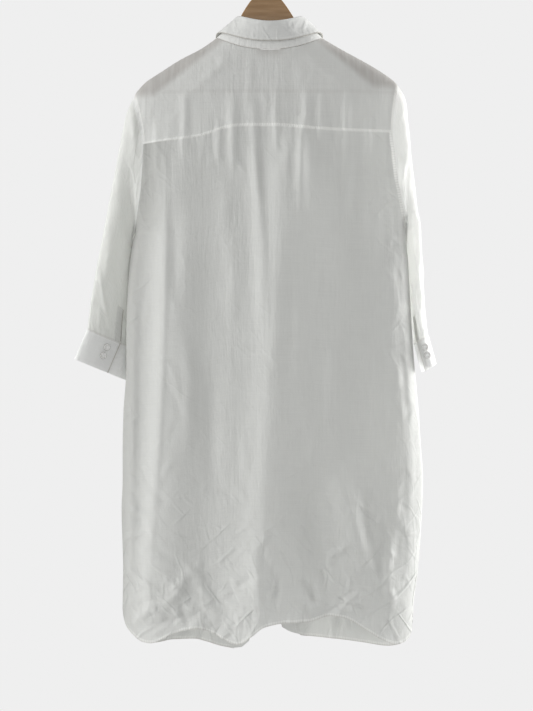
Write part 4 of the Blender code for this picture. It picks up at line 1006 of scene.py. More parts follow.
# ------------------------------------------------------------------ shells
def grid_quads(m, n, wrap, flip):
    last = n if wrap else n - 1
    i, j = np.meshgrid(np.arange(m - 1), np.arange(last), indexing="ij")
    k = (j + 1) % n
    q = np.stack([i * n + j, (i + 1) * n + j, (i + 1) * n + k, i * n + k], -1).reshape(-1, 4)
    return q[:, ::-1] if flip else q


def quad_normals(points, quads):
    a, b, c, d = (points[quads[:, k]] for k in range(4))
    n = np.cross(c - a, d - b)
    size = np.linalg.norm(n, axis=1, keepdims=True)
    return n / np.sqrt(np.maximum(size, 1e-9))


def shared_normals(panels):
    """Outward directions that panels sewn together share along their seams."""
    points = np.concatenate([p["points"].reshape(-1, 3) for p in panels])
    each = np.zeros_like(points)
    base = 0
    for p in panels:
        flat = p["points"].reshape(-1, 3)
        quads = p["quads"]
        n = quad_normals(flat, quads)
        for k in range(4):
            np.add.at(each, quads[:, k] + base, n)
        p["base"] = base
        base += len(flat)
    _, place = np.unique(np.round(points, 2), axis=0, return_inverse=True)
    place = place.reshape(-1)
    total = np.zeros((place.max() + 1, 3))
    np.add.at(total, place, each)
    n = total[place]
    n /= np.maximum(np.linalg.norm(n, axis=1, keepdims=True), 1e-9)
    for p in panels:
        count = p["points"].size // 3
        p["normals"] = n[p["base"] : p["base"] + count]


def panel(name, grid, flip, wrap=False, wall=SHELL):
    grid = np.asarray(grid, float)
    return {"name": name, "points": grid, "flip": flip, "wrap": wrap, "wall": wall, "quads": grid_quads(grid.shape[0], grid.shape[1], wrap, flip)}


def run_lengths(grid, axis, wrap=False):
    step = np.linalg.norm(np.diff(grid, axis=axis), axis=-1)
    pad = [(0, 0), (0, 0)]
    pad[axis] = (1, 0)
    return np.cumsum(np.pad(step, pad), axis=axis)


def make_shell(p):
    """The closed thin wall of a panel as a mesh object, with maps of the distance
    to each edge, in metres: (length along the edge, distance from it)."""
    grid = p["points"]
    m, n = grid.shape[:2]
    flat = grid.reshape(-1, 3)
    count = len(flat)
    inner = flat - p["normals"] * p["wall"]
    verts = np.concatenate([flat, inner]) * MM
    quads = p["quads"]
    number = np.arange(count).reshape(m, n)
    if p["wrap"]:
        loops = [number[0], number[-1]]
    else:
        loops = [np.concatenate([number[0, :-1], number[:-1, -1], number[-1, :0:-1], number[:0:-1, 0]])]
    directed = set(zip(quads.reshape(-1).tolist(), np.roll(quads, -1, axis=1).reshape(-1).tolist()))
    rims = []
    for loop in loops:
        loop = loop.tolist()
        for a, b in zip(loop, loop[1:] + loop[:1]):
            if (a, b) not in directed:
                a, b = b, a
            rims.append((b, a, a + count, b + count))
    faces = np.concatenate([quads, quads[:, ::-1] + count, np.array(rims)])
    mesh = bpy.data.meshes.new(p["name"] + "_cloth")
    mesh.vertices.add(len(verts))
    mesh.vertices.foreach_set("co", verts.reshape(-1))
    mesh.loops.add(faces.size)
    mesh.loops.foreach_set("vertex_index", faces.reshape(-1).astype(np.int32))
    mesh.polygons.add(len(faces))
    mesh.polygons.foreach_set("loop_start", np.arange(0, faces.size, 4, dtype=np.int32))
    mesh.update(calc_edges=True)
    mesh.validate()
    mesh.shade_smooth()
    mesh.set_sharp_from_angle(angle=math.radians(48))
    across_run, down_run = run_lengths(grid, 1), run_lengths(grid, 0)
    s_row = np.repeat(across_run[m // 2][None], m, 0)
    maps = {
        "cloth": (grid[..., 0], -grid[..., 2]) if p["name"] == "yoke" else (across_run - across_run[:, n // 2][:, None], down_run),
        "top": (np.repeat(across_run[:1], m, 0), down_run),
        "bottom": (np.repeat(across_run[-1:], m, 0), down_run[-1:] - down_run),
        "left": (np.repeat(down_run[:, :1], n, 1), across_run),
        "right": (np.repeat(down_run[:, -1:], n, 1), across_run[:, -1:] - across_run),
    }
    corner = np.zeros(len(mesh.loops), np.int32)
    mesh.loops.foreach_get("vertex_index", corner)
    corner %= count
    for key, (a, b) in maps.items():
        layer = mesh.uv_layers.new(name=key)
        uv = np.stack([a.reshape(-1)[corner], b.reshape(-1)[corner]], -1) * MM
        layer.uv.foreach_set("vector", uv.astype(np.float32).reshape(-1))
    obj = bpy.data.objects.new(p["name"] + "_cloth", mesh)
    bpy.context.scene.collection.objects.link(obj)
    obj["area_m2"] = float(np.linalg.norm(quad_normals(flat, quads), axis=1).dot(np.linalg.norm(quad_normals(flat, quads), axis=1)) / 2 * 1e-6)
    closing = np.linalg.norm(grid[:, 0] - grid[:, -1], axis=-1) if p["wrap"] else 0.0
    obj["wide_m"] = float((across_run[:, -1] + closing).max() * MM)
    obj["long_m"] = float(down_run[-1].max() * MM)
    return obj


# ------------------------------------------------------------------ materials
class Nodes:
    """Short ways to write a material's nodes."""

    def __init__(self, name):
        self.material = bpy.data.materials.new(name)
        self.material.use_nodes = True
        self.tree = self.material.node_tree
        self.tree.nodes.clear()
        self.out = self.add("ShaderNodeOutputMaterial")

    def add(self, kind, **settings):
        node = self.tree.nodes.new(kind)
        for key, value in settings.items():
            setattr(node, key, value)
        return node

    def link(self, source, target):
        self.tree.links.new(source, target)

    def put(self, value, socket):
        if isinstance(value, bpy.types.NodeSocket):
            self.link(value, socket)
        else:
            socket.default_value = value

    def math(self, operation, a, b=0.0, c=0.0, clamp=False):
        node = self.add("ShaderNodeMath", operation=operation, use_clamp=clamp)
        for value, socket in zip((a, b, c), node.inputs):
            self.put(value, socket)
        return node.outputs[0]

    def uv(self, name):
        node = self.add("ShaderNodeUVMap", uv_map=name)
        split = self.add("ShaderNodeSeparateXYZ")
        self.link(node.outputs[0], split.inputs[0])
        return split.outputs[0], split.outputs[1]

    def scaled(self, name, sx, sy, shift=0.0, turn=0.0):
        """A UV map turned by an angle and stretched to sx and sy repeats a metre."""
        node = self.add("ShaderNodeUVMap", uv_map=name)
        mapping = self.add("ShaderNodeMapping")
        source = node.outputs[0]
        if turn:
            turned = self.add("ShaderNodeMapping")
            self.link(source, turned.inputs["Vector"])
            turned.inputs["Rotation"].default_value = (0.0, 0.0, turn)
            source = turned.outputs[0]
        self.link(source, mapping.inputs["Vector"])
        mapping.inputs["Scale"].default_value = (sx, sy, 1.0)
        mapping.inputs["Location"].default_value = (shift, shift * 0.7, shift)
        return mapping.outputs[0]

    def noise(self, vector, scale=1.0, detail=2.0, rough=0.5):
        node = self.add("ShaderNodeTexNoise")
        self.link(vector, node.inputs["Vector"])
        node.inputs["Scale"].default_value = scale
        node.inputs["Detail"].default_value = detail
        node.inputs["Roughness"].default_value = rough
        return node.outputs[0]

    def ramp(self, value, low, high, to_low=0.0, to_high=1.0, smooth=True):
        node = self.add("ShaderNodeMapRange", interpolation_type="SMOOTHSTEP" if smooth else "LINEAR")
        for socket, v in zip(("Value", "From Min", "From Max", "To Min", "To Max"), (value, low, high, to_low, to_high)):
            self.put(v, node.inputs[socket])
        return node.outputs[0]

    def mix(self, factor, a, b):
        node = self.add("ShaderNodeMix", data_type="RGBA")
        self.put(factor, node.inputs[0])
        self.put(a, node.inputs[6])
        self.put(b, node.inputs[7])
        return node.outputs[2]


# Lower edges of the hanger's arms as the painted shade on the yoke shows them, in metres:
# where each starts near the neck (x, depth below the origin), its slope, and its lowest depth.
ARM_BEHIND_COLUMNS = ("side", "x", "depth", "slope", "lowest")
ARM_BEHIND = ((-1, 0.0990, 0.1766, 0.788, 0.2470), (1, 0.1219, 0.1829, 0.823, 0.2330))
BAR_BEHIND = 0.2390
HUMP_BEHIND = (0.007, 0.030, 0.186)  # middle, half width, lowest depth


def hanger_shade_mask(n):
    """Mask of the painted shade on the yoke: 1 where the hanger lies close behind it, 0 elsewhere, on the map (x, -z).
    """
    x, depth = n.uv("cloth")
    edge = None
    for side, start, first, slope, lowest in ARM_BEHIND:
        out = n.math("SUBTRACT", n.math("MULTIPLY", x, side), start)
        low = n.math("MINIMUM", n.math("ADD", n.math("MULTIPLY", out, slope), first), lowest)
        edge = low if edge is None else n.math("MAXIMUM", edge, low)
    arms = n.math("SUBTRACT", 1.0, n.ramp(n.math("SUBTRACT", depth, edge), -0.012, 0.006))
    bar = n.math("SUBTRACT", 1.0, n.ramp(n.math("ABSOLUTE", n.math("SUBTRACT", depth, BAR_BEHIND)), 0.001, 0.005))
    off = n.math("ABSOLUTE", n.math("SUBTRACT", x, HUMP_BEHIND[0]))
    hump = n.math("MULTIPLY", n.math("SUBTRACT", 1.0, n.ramp(off, HUMP_BEHIND[1] * 0.4, HUMP_BEHIND[1])), n.math("SUBTRACT", 1.0, n.ramp(depth, HUMP_BEHIND[2] - 0.016, HUMP_BEHIND[2])))
    both = n.math("MAXIMUM", arms, n.math("MULTIPLY", hump, 0.55))
    both = n.math("MAXIMUM", both, n.math("MULTIPLY", bar, 0.16))
    streaky = n.noise(n.scaled("cloth", 240.0, 14.0, 22.7), 1.0, 2.0, 0.6)
    return n.math("MULTIPLY", both, n.ramp(streaky, 0.25, 0.7, 0.62, 1.0, smooth=False), clamp=True)


def linen(name, seams, tint=(0.80, 0.805, 0.785), through=0.5, crumple=0.25, crumpled=(), gathers=(), painted_hanger_shade=False, painted_side_shade=()):
    """Plain-weave linen. seams are rows of SEAM_COLUMNS. crumple is the height of
    the small creases all over, and crumpled rows (map, reach, height) add to it
    near an edge, in mm. gathers rows (map, reach, height) are short upright
    creases that run out of a seam. painted_hanger_shade paints shade on the thin cloth
    where the wood lies close behind it, and denser rows (map, reach, share)
    paint shade that darkens it towards a seam. tint is the linen's colour; some
    pieces are given a lighter or darker tint as painted light and shade."""
    n = Nodes(name)
    weft = n.noise(n.scaled("cloth", 16.0, 900.0), 1.0, 3.0, 0.6)
    warp = n.noise(n.scaled("cloth", 900.0, 16.0, 3.1), 1.0, 3.0, 0.6)
    fine = n.noise(n.scaled("cloth", 55.0, 2100.0, 5.3), 1.0, 1.0)
    fine_warp = n.noise(n.scaled("cloth", 2100.0, 55.0, 7.7), 1.0, 1.0)
    threads = n.math("ADD", n.math("MULTIPLY", weft, 0.55), n.math("MULTIPLY", warp, 0.45))
    fine_threads = n.math("ADD", fine, fine_warp)
    cloudy = n.noise(n.scaled("cloth", 9.0, 6.0, 1.7), 1.0, 4.0, 0.6)
    micro = n.noise(n.scaled("cloth", 62.0, 40.0, 2.3), 1.0, 4.0, 0.62)
    long_streak = n.noise(n.scaled("cloth", 120.0, 11.0, 4.9), 1.0, 3.0, 0.6)
    short_streak = n.noise(n.scaled("cloth", 330.0, 42.0, 6.1), 1.0, 2.0, 0.55)
    where = n.ramp(n.noise(n.scaled("cloth", 7.0, 3.5, 8.3), 1.0, 2.0), 0.40, 0.62, 0.25, 1.0)
    # folded edges, the stitches along them and the small puckers that they pull. The folded edges are drawn lighter,
    # partly for their extra layers of cloth and partly as painted highlight, brighter on the right-hand seams where the
    # right light falls; along the very edge runs a painted shadow line.
    fold, stitch, pucker, shade = None, None, None, None
    for key, first, second, width, bright, painted_edge_shadow in seams:
        s, d = n.uv(key)
        rungs = n.math("SINE", n.math("MULTIPLY", s, 2 * math.pi / 0.0043))
        rungs = n.math("ADD", n.math("MULTIPLY", rungs, 0.36), 0.64)
        inside = n.math("MULTIPLY", n.math("SUBTRACT", 1.0, n.ramp(d, width * MM, (width + 0.9) * MM)), n.math("MULTIPLY", rungs, bright))
        fold = inside if fold is None else n.math("MAXIMUM", fold, inside)
        # Painted shadow: a dark line along the very edge of a piece, standing in for the shade where it lies over what
        # is below.
        line = n.math("MULTIPLY", n.math("SUBTRACT", 1.0, n.ramp(d, 0.0009, 0.0024)), painted_edge_shadow)
        shade = line if shade is None else n.math("MAXIMUM", shade, line)
        wave = n.math("SINE", n.math("MULTIPLY", s, 2 * math.pi / 0.0095))
        loose = n.noise(n.scaled(key, 95.0, 30.0, 9.0), 1.0, 2.0)
        near = n.math("SUBTRACT", 1.0, n.ramp(d, 0.0, 0.016))
        pull = n.math("MULTIPLY", n.math("ADD", n.math("MULTIPLY", wave, 0.25), n.math("MULTIPLY", loose, 1.5)), near)
        pucker = pull if pucker is None else n.math("ADD", pucker, pull)
        for line in (first, second):
            if not line:
                continue
            off = n.math("ABSOLUTE", n.math("SUBTRACT", d, line * MM))
            on_line = n.math("SUBTRACT", 1.0, n.ramp(off, 0.0002, 0.0005))
            part = n.math("FRACT", n.math("MULTIPLY", s, 1 / 0.0026))
            dash = n.math("MULTIPLY", n.ramp(part, 0.08, 0.2), n.math("SUBTRACT", 1.0, n.ramp(part, 0.78, 0.9)))
            one = n.math("MULTIPLY", on_line, dash)
            stitch = one if stitch is None else n.math("MAXIMUM", stitch, one)
    tone = n.math("ADD", n.math("MULTIPLY", threads, 0.20), n.math("MULTIPLY", cloudy, 0.05))
    streaks = n.math("ADD", n.math("MULTIPLY", long_streak, 1.0), n.math("MULTIPLY", short_streak, 0.4))
    streaks = n.math("MULTIPLY", streaks, where)
    light = tuple(min(1.0, c * 1.03) for c in tint) + (1.0,)
    dark = tuple(c * 0.93 for c in tint) + (1.0,)
    colour = n.mix(n.ramp(tone, 0.075, 0.175, smooth=False), dark, light)
    if fold is not None:
        # Painted highlight in part: the folded edges are lightened, more on the right-hand seams where the right light
        # falls.
        colour = n.mix(fold, colour, tuple(min(1.0, c * 1.25) for c in tint) + (1.0,))
        colour = n.mix(n.math("MULTIPLY", stitch, 0.5), colour, (0.95, 0.95, 0.93, 1.0))
        # The painted shadow lines go into the colour here.
        colour = n.mix(shade, colour, (tint[0] * 0.50, tint[1] * 0.46, tint[2] * 0.41, 1.0))
    # Painted shade: the colour darkens towards the named edge, down the left side of the back and of the left front.
    for key, reach, share in painted_side_shade:
        _, d = n.uv(key)
        near = n.math("MULTIPLY", n.math("SUBTRACT", 1.0, n.ramp(d, 0.0, reach * MM)), share)
        colour = n.mix(near, colour, (tint[0] * 0.70, tint[1] * 0.70, tint[2] * 0.69, 1.0))
    if painted_hanger_shade:
        # Painted shade: the yoke's colour is darkened and browned where the hanger lies close behind the cloth and
        # holds back the light coming through.
        colour = n.mix(hanger_shade_mask(n), colour, (tint[0] * 0.735, tint[1] * 0.71, tint[2] * 0.695, 1.0))
    height = n.math("ADD", n.math("MULTIPLY", threads, 0.08), n.math("MULTIPLY", fine_threads, 0.07))
    height = n.math("ADD", height, n.math("MULTIPLY", micro, 0.9))
    height = n.math("ADD", height, streaks)
    amount = crumple
    for key, reach, extra in crumpled:
        _, d = n.uv(key)
        amount = n.math("ADD", n.math("MULTIPLY", n.math("SUBTRACT", 1.0, n.ramp(d, 0.0, reach * MM)), extra), amount)
    for key, reach, tall in gathers:
        _, d = n.uv(key)
        upright = n.noise(n.scaled("cloth", 62.0, 8.0, 15.1), 1.0, 2.0, 0.5)
        uneven = n.ramp(n.noise(n.scaled("cloth", 24.0, 4.0, 18.3), 1.0, 1.0), 0.40, 0.6)
        falling = n.math("SUBTRACT", 1.0, n.ramp(d, 0.002, reach * MM))
        height = n.math("ADD", height, n.math("MULTIPLY", n.math("MULTIPLY", upright, uneven), n.math("MULTIPLY", falling, tall)))
    for scale, shift, share, turn in (((9.0, 26.0), 3.3, 1.0, 0.6), ((12.0, 34.0), 11.7, 0.7, -0.8), ((30.0, 12.0), 17.9, 0.5, 0.2)):
        wander = n.noise(n.scaled("cloth", scale[0], scale[1], shift, turn), 1.0, 1.5, 0.45)
        crest = n.math("SUBTRACT", 1.0, n.ramp(n.math("ABSOLUTE", n.math("SUBTRACT", wander, 0.5)), 0.0, 0.07))
        broken = n.ramp(n.noise(n.scaled("cloth", scale[0] * 0.8, scale[1] * 0.8, shift + 20), 1.0, 2.0), 0.40, 0.56)
        height = n.math("ADD", height, n.math("MULTIPLY", n.math("MULTIPLY", crest, broken), n.math("MULTIPLY", amount, share)))
    if fold is not None:
        height = n.math("ADD", height, n.math("MULTIPLY", fold, 0.40))
        height = n.math("ADD", height, n.math("MULTIPLY", stitch, 0.22))
        height = n.math("ADD", height, n.math("MULTIPLY", pucker, 0.55))
    bump = n.add("ShaderNodeBump")
    bump.inputs["Strength"].default_value = 0.8
    bump.inputs["Distance"].default_value = 0.001
    n.link(height, bump.inputs["Height"])
    front = n.add("ShaderNodeBsdfPrincipled")
    n.link(colour, front.inputs["Base Color"])
    front.inputs["Roughness"].default_value = 0.9
    front.inputs["Specular IOR Level"].default_value = 0.25
    front.inputs["Sheen Weight"].default_value = 0.12
    front.inputs["Sheen Roughness"].default_value = 0.5
    n.link(bump.outputs[0], front.inputs["Normal"])
    behind = n.add("ShaderNodeBsdfTranslucent")
    n.link(colour, behind.inputs["Color"])
    n.link(bump.outputs[0], behind.inputs["Normal"])
    both = n.add("ShaderNodeMixShader")
    both.inputs[0].default_value = through
    n.link(front.outputs[0], both.inputs[1])
    n.link(behind.outputs[0], both.inputs[2])
    n.link(both.outputs[0], n.out.inputs[0])
    return n.material


def wood(name):
    n = Nodes(name)
    place = n.add("ShaderNodeTexCoord")
    mapping = n.add("ShaderNodeMapping")
    n.link(place.outputs["Object"], mapping.inputs["Vector"])
    mapping.inputs["Scale"].default_value = (14.0, 60.0, 150.0)
    mapping.inputs["Rotation"].default_value = (0.0, 0.05, 0.0)
    wavy = n.noise(mapping.outputs[0], 1.0, 5.0, 0.6)
    fine_map = n.add("ShaderNodeMapping")
    n.link(place.outputs["Object"], fine_map.inputs["Vector"])
    fine_map.inputs["Scale"].default_value = (50.0, 500.0, 1500.0)
    pores = n.noise(fine_map.outputs[0], 1.0, 3.0, 0.6)
    grain = n.math("ADD", n.math("MULTIPLY", wavy, 0.75), n.math("MULTIPLY", pores, 0.25))
    colour = n.mix(n.ramp(grain, 0.36, 0.64), (0.215, 0.118, 0.042, 1), (0.270, 0.155, 0.060, 1))
    bump = n.add("ShaderNodeBump")
    bump.inputs["Strength"].default_value = 0.25
    bump.inputs["Distance"].default_value = 0.0005
    n.link(grain, bump.inputs["Height"])
    front = n.add("ShaderNodeBsdfPrincipled")
    n.link(colour, front.inputs["Base Color"])
    n.link(n.ramp(grain, 0.3, 0.7, 0.5, 0.36), front.inputs["Roughness"])
    n.link(bump.outputs[0], front.inputs["Normal"])
    front.inputs["Coat Weight"].default_value = 0.04
    front.inputs["Coat Roughness"].default_value = 0.3
    n.link(front.outputs[0], n.out.inputs[0])
    return n.material


def wire(name):
    n = Nodes(name)
    place = n.add("ShaderNodeTexCoord")
    worn = n.noise(place.outputs["Object"], 260.0, 4.0, 0.6)
    front = n.add("ShaderNodeBsdfPrincipled")
    n.link(n.mix(worn, (0.38, 0.38, 0.40, 1), (0.50, 0.50, 0.52, 1)), front.inputs["Base Color"])
    n.link(n.ramp(worn, 0.3, 0.7, 0.18, 0.34), front.inputs["Roughness"])
    front.inputs["Metallic"].default_value = 1.0
    n.link(front.outputs[0], n.out.inputs[0])
    return n.material


def shell_button(name):
    n = Nodes(name)
    place = n.add("ShaderNodeTexCoord")
    layers = n.noise(place.outputs["Object"], 420.0, 3.0, 0.55)
    flat = n.add("ShaderNodeMapping")
    n.link(place.outputs["Object"], flat.inputs["Vector"])
    flat.inputs["Scale"].default_value = (1.0, 1.0, 0.0)
    radius = n.add("ShaderNodeVectorMath", operation="LENGTH")
    n.link(flat.outputs[0], radius.inputs[0])
    # Painted shade: the button's outer rim and the groove round its middle are darkened in its colour.
    rim = n.ramp(radius.outputs["Value"], 0.0051, 0.0056)
    well = n.math("SUBTRACT", 1.0, n.ramp(n.math("ABSOLUTE", n.math("SUBTRACT", radius.outputs["Value"], 0.0035)), 0.0001, 0.0006))
    shade = n.math("MAXIMUM", rim, n.math("MULTIPLY", well, 0.7))
    front = n.add("ShaderNodeBsdfPrincipled")
    pale = n.mix(n.ramp(layers, 0.35, 0.65), (0.72, 0.73, 0.71, 1), (0.84, 0.84, 0.82, 1))
    # The painted shade goes into the button's colour here.
    n.link(n.mix(shade, pale, (0.17, 0.145, 0.115, 1)), front.inputs["Base Color"])
    front.inputs["Roughness"].default_value = 0.22
    front.inputs["Coat Weight"].default_value = 0.5
    front.inputs["Coat Roughness"].default_value = 0.1
    n.link(front.outputs[0], n.out.inputs[0])
    return n.material


def thread(name):
    n = Nodes(name)
    place = n.add("ShaderNodeTexCoord")
    twist = n.noise(place.outputs["Object"], 3000.0, 2.0)
    front = n.add("ShaderNodeBsdfPrincipled")
    n.link(n.mix(twist, (0.62, 0.62, 0.58, 1), (0.82, 0.82, 0.79, 1)), front.inputs["Base Color"])
    front.inputs["Roughness"].default_value = 0.8
    n.link(front.outputs[0], n.out.inputs[0])
    return n.material


def plain(name, colour, roughness=0.9):
    n = Nodes(name)
    front = n.add("ShaderNodeBsdfPrincipled")
    front.inputs["Base Color"].default_value = colour
    front.inputs["Roughness"].default_value = roughness
    front.inputs["Specular IOR Level"].default_value = 0.1
    n.link(front.outputs[0], n.out.inputs[0])
    return n.material


# ------------------------------------------------------------------ buttons
BUTTON_PROFILE_COLUMNS = ("radius", "height")
BUTTON_PROFILE = (
    (0.0, 0.05), (3.2, 0.0), (4.7, 0.2), (5.5, 0.75), (5.75, 1.25), (5.6, 1.8),
    (5.1, 2.15), (4.5, 2.1), (3.9, 1.7), (3.3, 1.45), (2.4, 1.42), (0.0, 1.42),
)
HOLE_AT, HOLE_R = 1.25, 0.55


def button_mesh(pearl, cord):
    """A four-hole button with its thread, its back on z = 0, in metres."""
    segments = 32
    points, faces, rings = [], [], []
    for radius, height in BUTTON_PROFILE:
        if radius == 0.0:
            rings.append([len(points)])
            points.append((0, 0, height))
            continue
        ring = []
        for k in range(segments):
            a = 2 * math.pi * k / segments
            ring.append(len(points))
            points.append((radius * math.cos(a), radius * math.sin(a), height))
        rings.append(ring)
    for low, high in zip(rings, rings[1:]):
        for k in range(segments):
            j = (k + 1) % segments
            if len(low) == 1:
                faces.append((low[0], high[j], high[k]))
            elif len(high) == 1:
                faces.append((low[k], low[j], high[0]))
            else:
                faces.append((low[k], low[j], high[j], high[k]))
    mesh = bpy.data.meshes.new("button")
    mesh.from_pydata([tuple(c * MM for c in p) for p in points], [], faces)
    body_obj = bpy.data.objects.new("button_body", mesh)
    bpy.context.scene.collection.objects.link(body_obj)
    cutters = bmesh.new()
    for sx in (-1, 1):
        for sy in (-1, 1):
            made = bmesh.ops.create_cone(cutters, cap_ends=True, segments=12, radius1=HOLE_R * MM, radius2=HOLE_R * MM, depth=4 * MM)
            bmesh.ops.translate(cutters, verts=made["verts"], vec=(sx * HOLE_AT * MM, sy * HOLE_AT * MM, 1 * MM))
    cut_mesh = bpy.data.meshes.new("holes")
    cutters.to_mesh(cut_mesh)
    cutters.free()
    cut = bpy.data.objects.new("holes", cut_mesh)
    bpy.context.scene.collection.objects.link(cut)
    modifier = body_obj.modifiers.new("holes", "BOOLEAN")
    modifier.operation, modifier.solver, modifier.object = "DIFFERENCE", "EXACT", cut
    graph = bpy.context.evaluated_depsgraph_get()
    result = bpy.data.meshes.new_from_object(body_obj.evaluated_get(graph))
    bpy.data.objects.remove(body_obj, do_unlink=True)
    bpy.data.objects.remove(cut, do_unlink=True)
    # Two bars of thread, each over a pair of holes and down through them.
    bm = bmesh.new()
    bm.from_mesh(result)
    for face in bm.faces:
        face.material_index = 0
    for sy in (-1, 1):
        path = [(-HOLE_AT, 0.3), (-HOLE_AT, 1.5), (-HOLE_AT * 0.7, 1.85), (0, 1.95), (HOLE_AT * 0.7, 1.85), (HOLE_AT, 1.5), (HOLE_AT, 0.3)]
        last = None
        for q, (px, pz) in enumerate(path):
            a = path[max(q - 1, 0)]
            b = path[min(q + 1, len(path) - 1)]
            t = np.array([b[0] - a[0], b[1] - a[1]])
            t = t / np.linalg.norm(t)
            ring = []
            for k in range(8):
                w = 2 * math.pi * k / 8
                r = 0.36
                ring.append(bm.verts.new(((px - t[1] * r * math.cos(w)) * MM, (sy * HOLE_AT + r * math.sin(w)) * MM, (pz + t[0] * r * math.cos(w)) * MM)))
            if last:
                for k in range(8):
                    f = bm.faces.new((last[k], last[(k + 1) % 8], ring[(k + 1) % 8], ring[k]))
                    f.material_index = 1
            else:
                f = bm.faces.new(ring[::-1])
                f.material_index = 1
            last = ring
        f = bm.faces.new(last)
        f.material_index = 1
    bmesh.ops.recalc_face_normals(bm, faces=bm.faces)
    bm.to_mesh(result)
    bm.free()
    result.shade_smooth()
    result.set_sharp_from_angle(angle=math.radians(40))
    result.materials.clear()
    result.materials.append(pearl)
    result.materials.append(cord)
    return result


def place_button(name, mesh, seat, normal, turn):
    z = Vector(normal).normalized()
    x = Vector((math.cos(turn), 0.0, math.sin(turn)))
    x = (x - z * x.dot(z)).normalized()
    y = z.cross(x)
    obj = bpy.data.objects.new(name + "_shell", mesh)
    bpy.context.scene.collection.objects.link(obj)
    seat = Vector(seat) + z * 0.25
    obj.matrix_world = Matrix(((x.x, y.x, z.x, seat.x * MM), (x.y, y.y, z.y, seat.y * MM), (x.z, y.z, z.z, seat.z * MM), (0, 0, 0, 1)))
    return obj


# ------------------------------------------------------------------ the dress
def with_creases_on_sleeve(grid, side):
    """Adds a sleeve's creases along its own normals, fading at both of its ends."""
    quads = grid_quads(grid.shape[0], grid.shape[1], True, side > 0)
    flat = grid.reshape(-1, 3)
    n = np.zeros_like(flat)
    f = quad_normals(flat, quads)
    for k in range(4):
        np.add.at(n, quads[:, k], f)
    n /= np.maximum(np.linalg.norm(n, axis=1, keepdims=True), 1e-9)
    n = n.reshape(grid.shape)
    v = np.linspace(0, 1, grid.shape[0])[:, None]
    ends = ease(v / 0.05) * ease((1 - v) / 0.03)
    x, y, z = grid[..., 0], grid[..., 1], grid[..., 2]
    back_face, front_face = ease((-n[..., 1] - 0.1) / 0.5), ease((n[..., 1] - 0.1) / 0.5)
    if side < 0:
        add = (creases(SLEEVE_BACK_LEFT, x, z) + creases(SLEEVE_SMALL_LEFT, x, z)) * back_face + creases(SLEEVE_FRONT_LEFT, x, z) * front_face
    else:
        wide = ease((np.abs(n[..., 0]) - 0.3) / 0.4)
        add = (creases(SLEEVE_BACK_RIGHT, x, z) + creases(SLEEVE_SMALL_RIGHT, x, z)) * back_face
        add = add + creases(SLEEVE_FRONT_RIGHT, x, z) * front_face * (1 - wide) + creases(SLEEVE_SIDE_RIGHT, y, z) * wide
    return grid + n * (add * ends)[..., None]


def build_dress():
    yoke = yoke_grid()
    back = back_grid(yoke)
    front = {side: front_grid(side, yoke) for side in (-1, 1)}
    band = {side: fine_band(side, front[side]) for side in (-1, 1)}
    sleeve = {}
    for side in (-1, 1):
        sleeve[side] = with_creases_on_sleeve(sleeve_grid(side, armhole_loop(side, yoke, back, front[side])), side)
    sewn = [
        panel("yoke", yoke, False),
        panel("back", back, False),
        panel("front_left", front[-1], True),
        panel("front_right", front[1], False),
        panel("placket_left", band[-1], True, wall=BAND_SHELL),
        panel("placket_right", band[1], False, wall=BAND_SHELL),
        panel("sleeve_left", sleeve[-1], False, wrap=True),
        panel("sleeve_right", sleeve[1], True, wrap=True),
    ]
    shared_normals(sewn)
    loose = [
        panel("cuff_left", cuff_grid(-1, 150, 24), False, wall=BAND_SHELL),
        panel("cuff_right", cuff_grid(1, 150, 24), True, wall=BAND_SHELL),
        panel("collar_stand", stand_grid(180, 14), True, wall=BAND_SHELL),
        panel("collar", leaf_grid(190, 4, 9, 26), False, wall=LEAF_SHELL),
    ]
    for side, name in ((-1, "left"), (1, "right")):
        strip = sleeve_placket_grid(side, 28, 9)
        p = panel("sleeve_placket_" + name, strip, side < 0, wall=SHELL)
        shared_normals([p])
        p["points"] = strip + p["normals"].reshape(strip.shape) * (SHELL + 0.2)
        loose.append(p)
    for p in loose:
        shared_normals([p])
    return sewn + loose


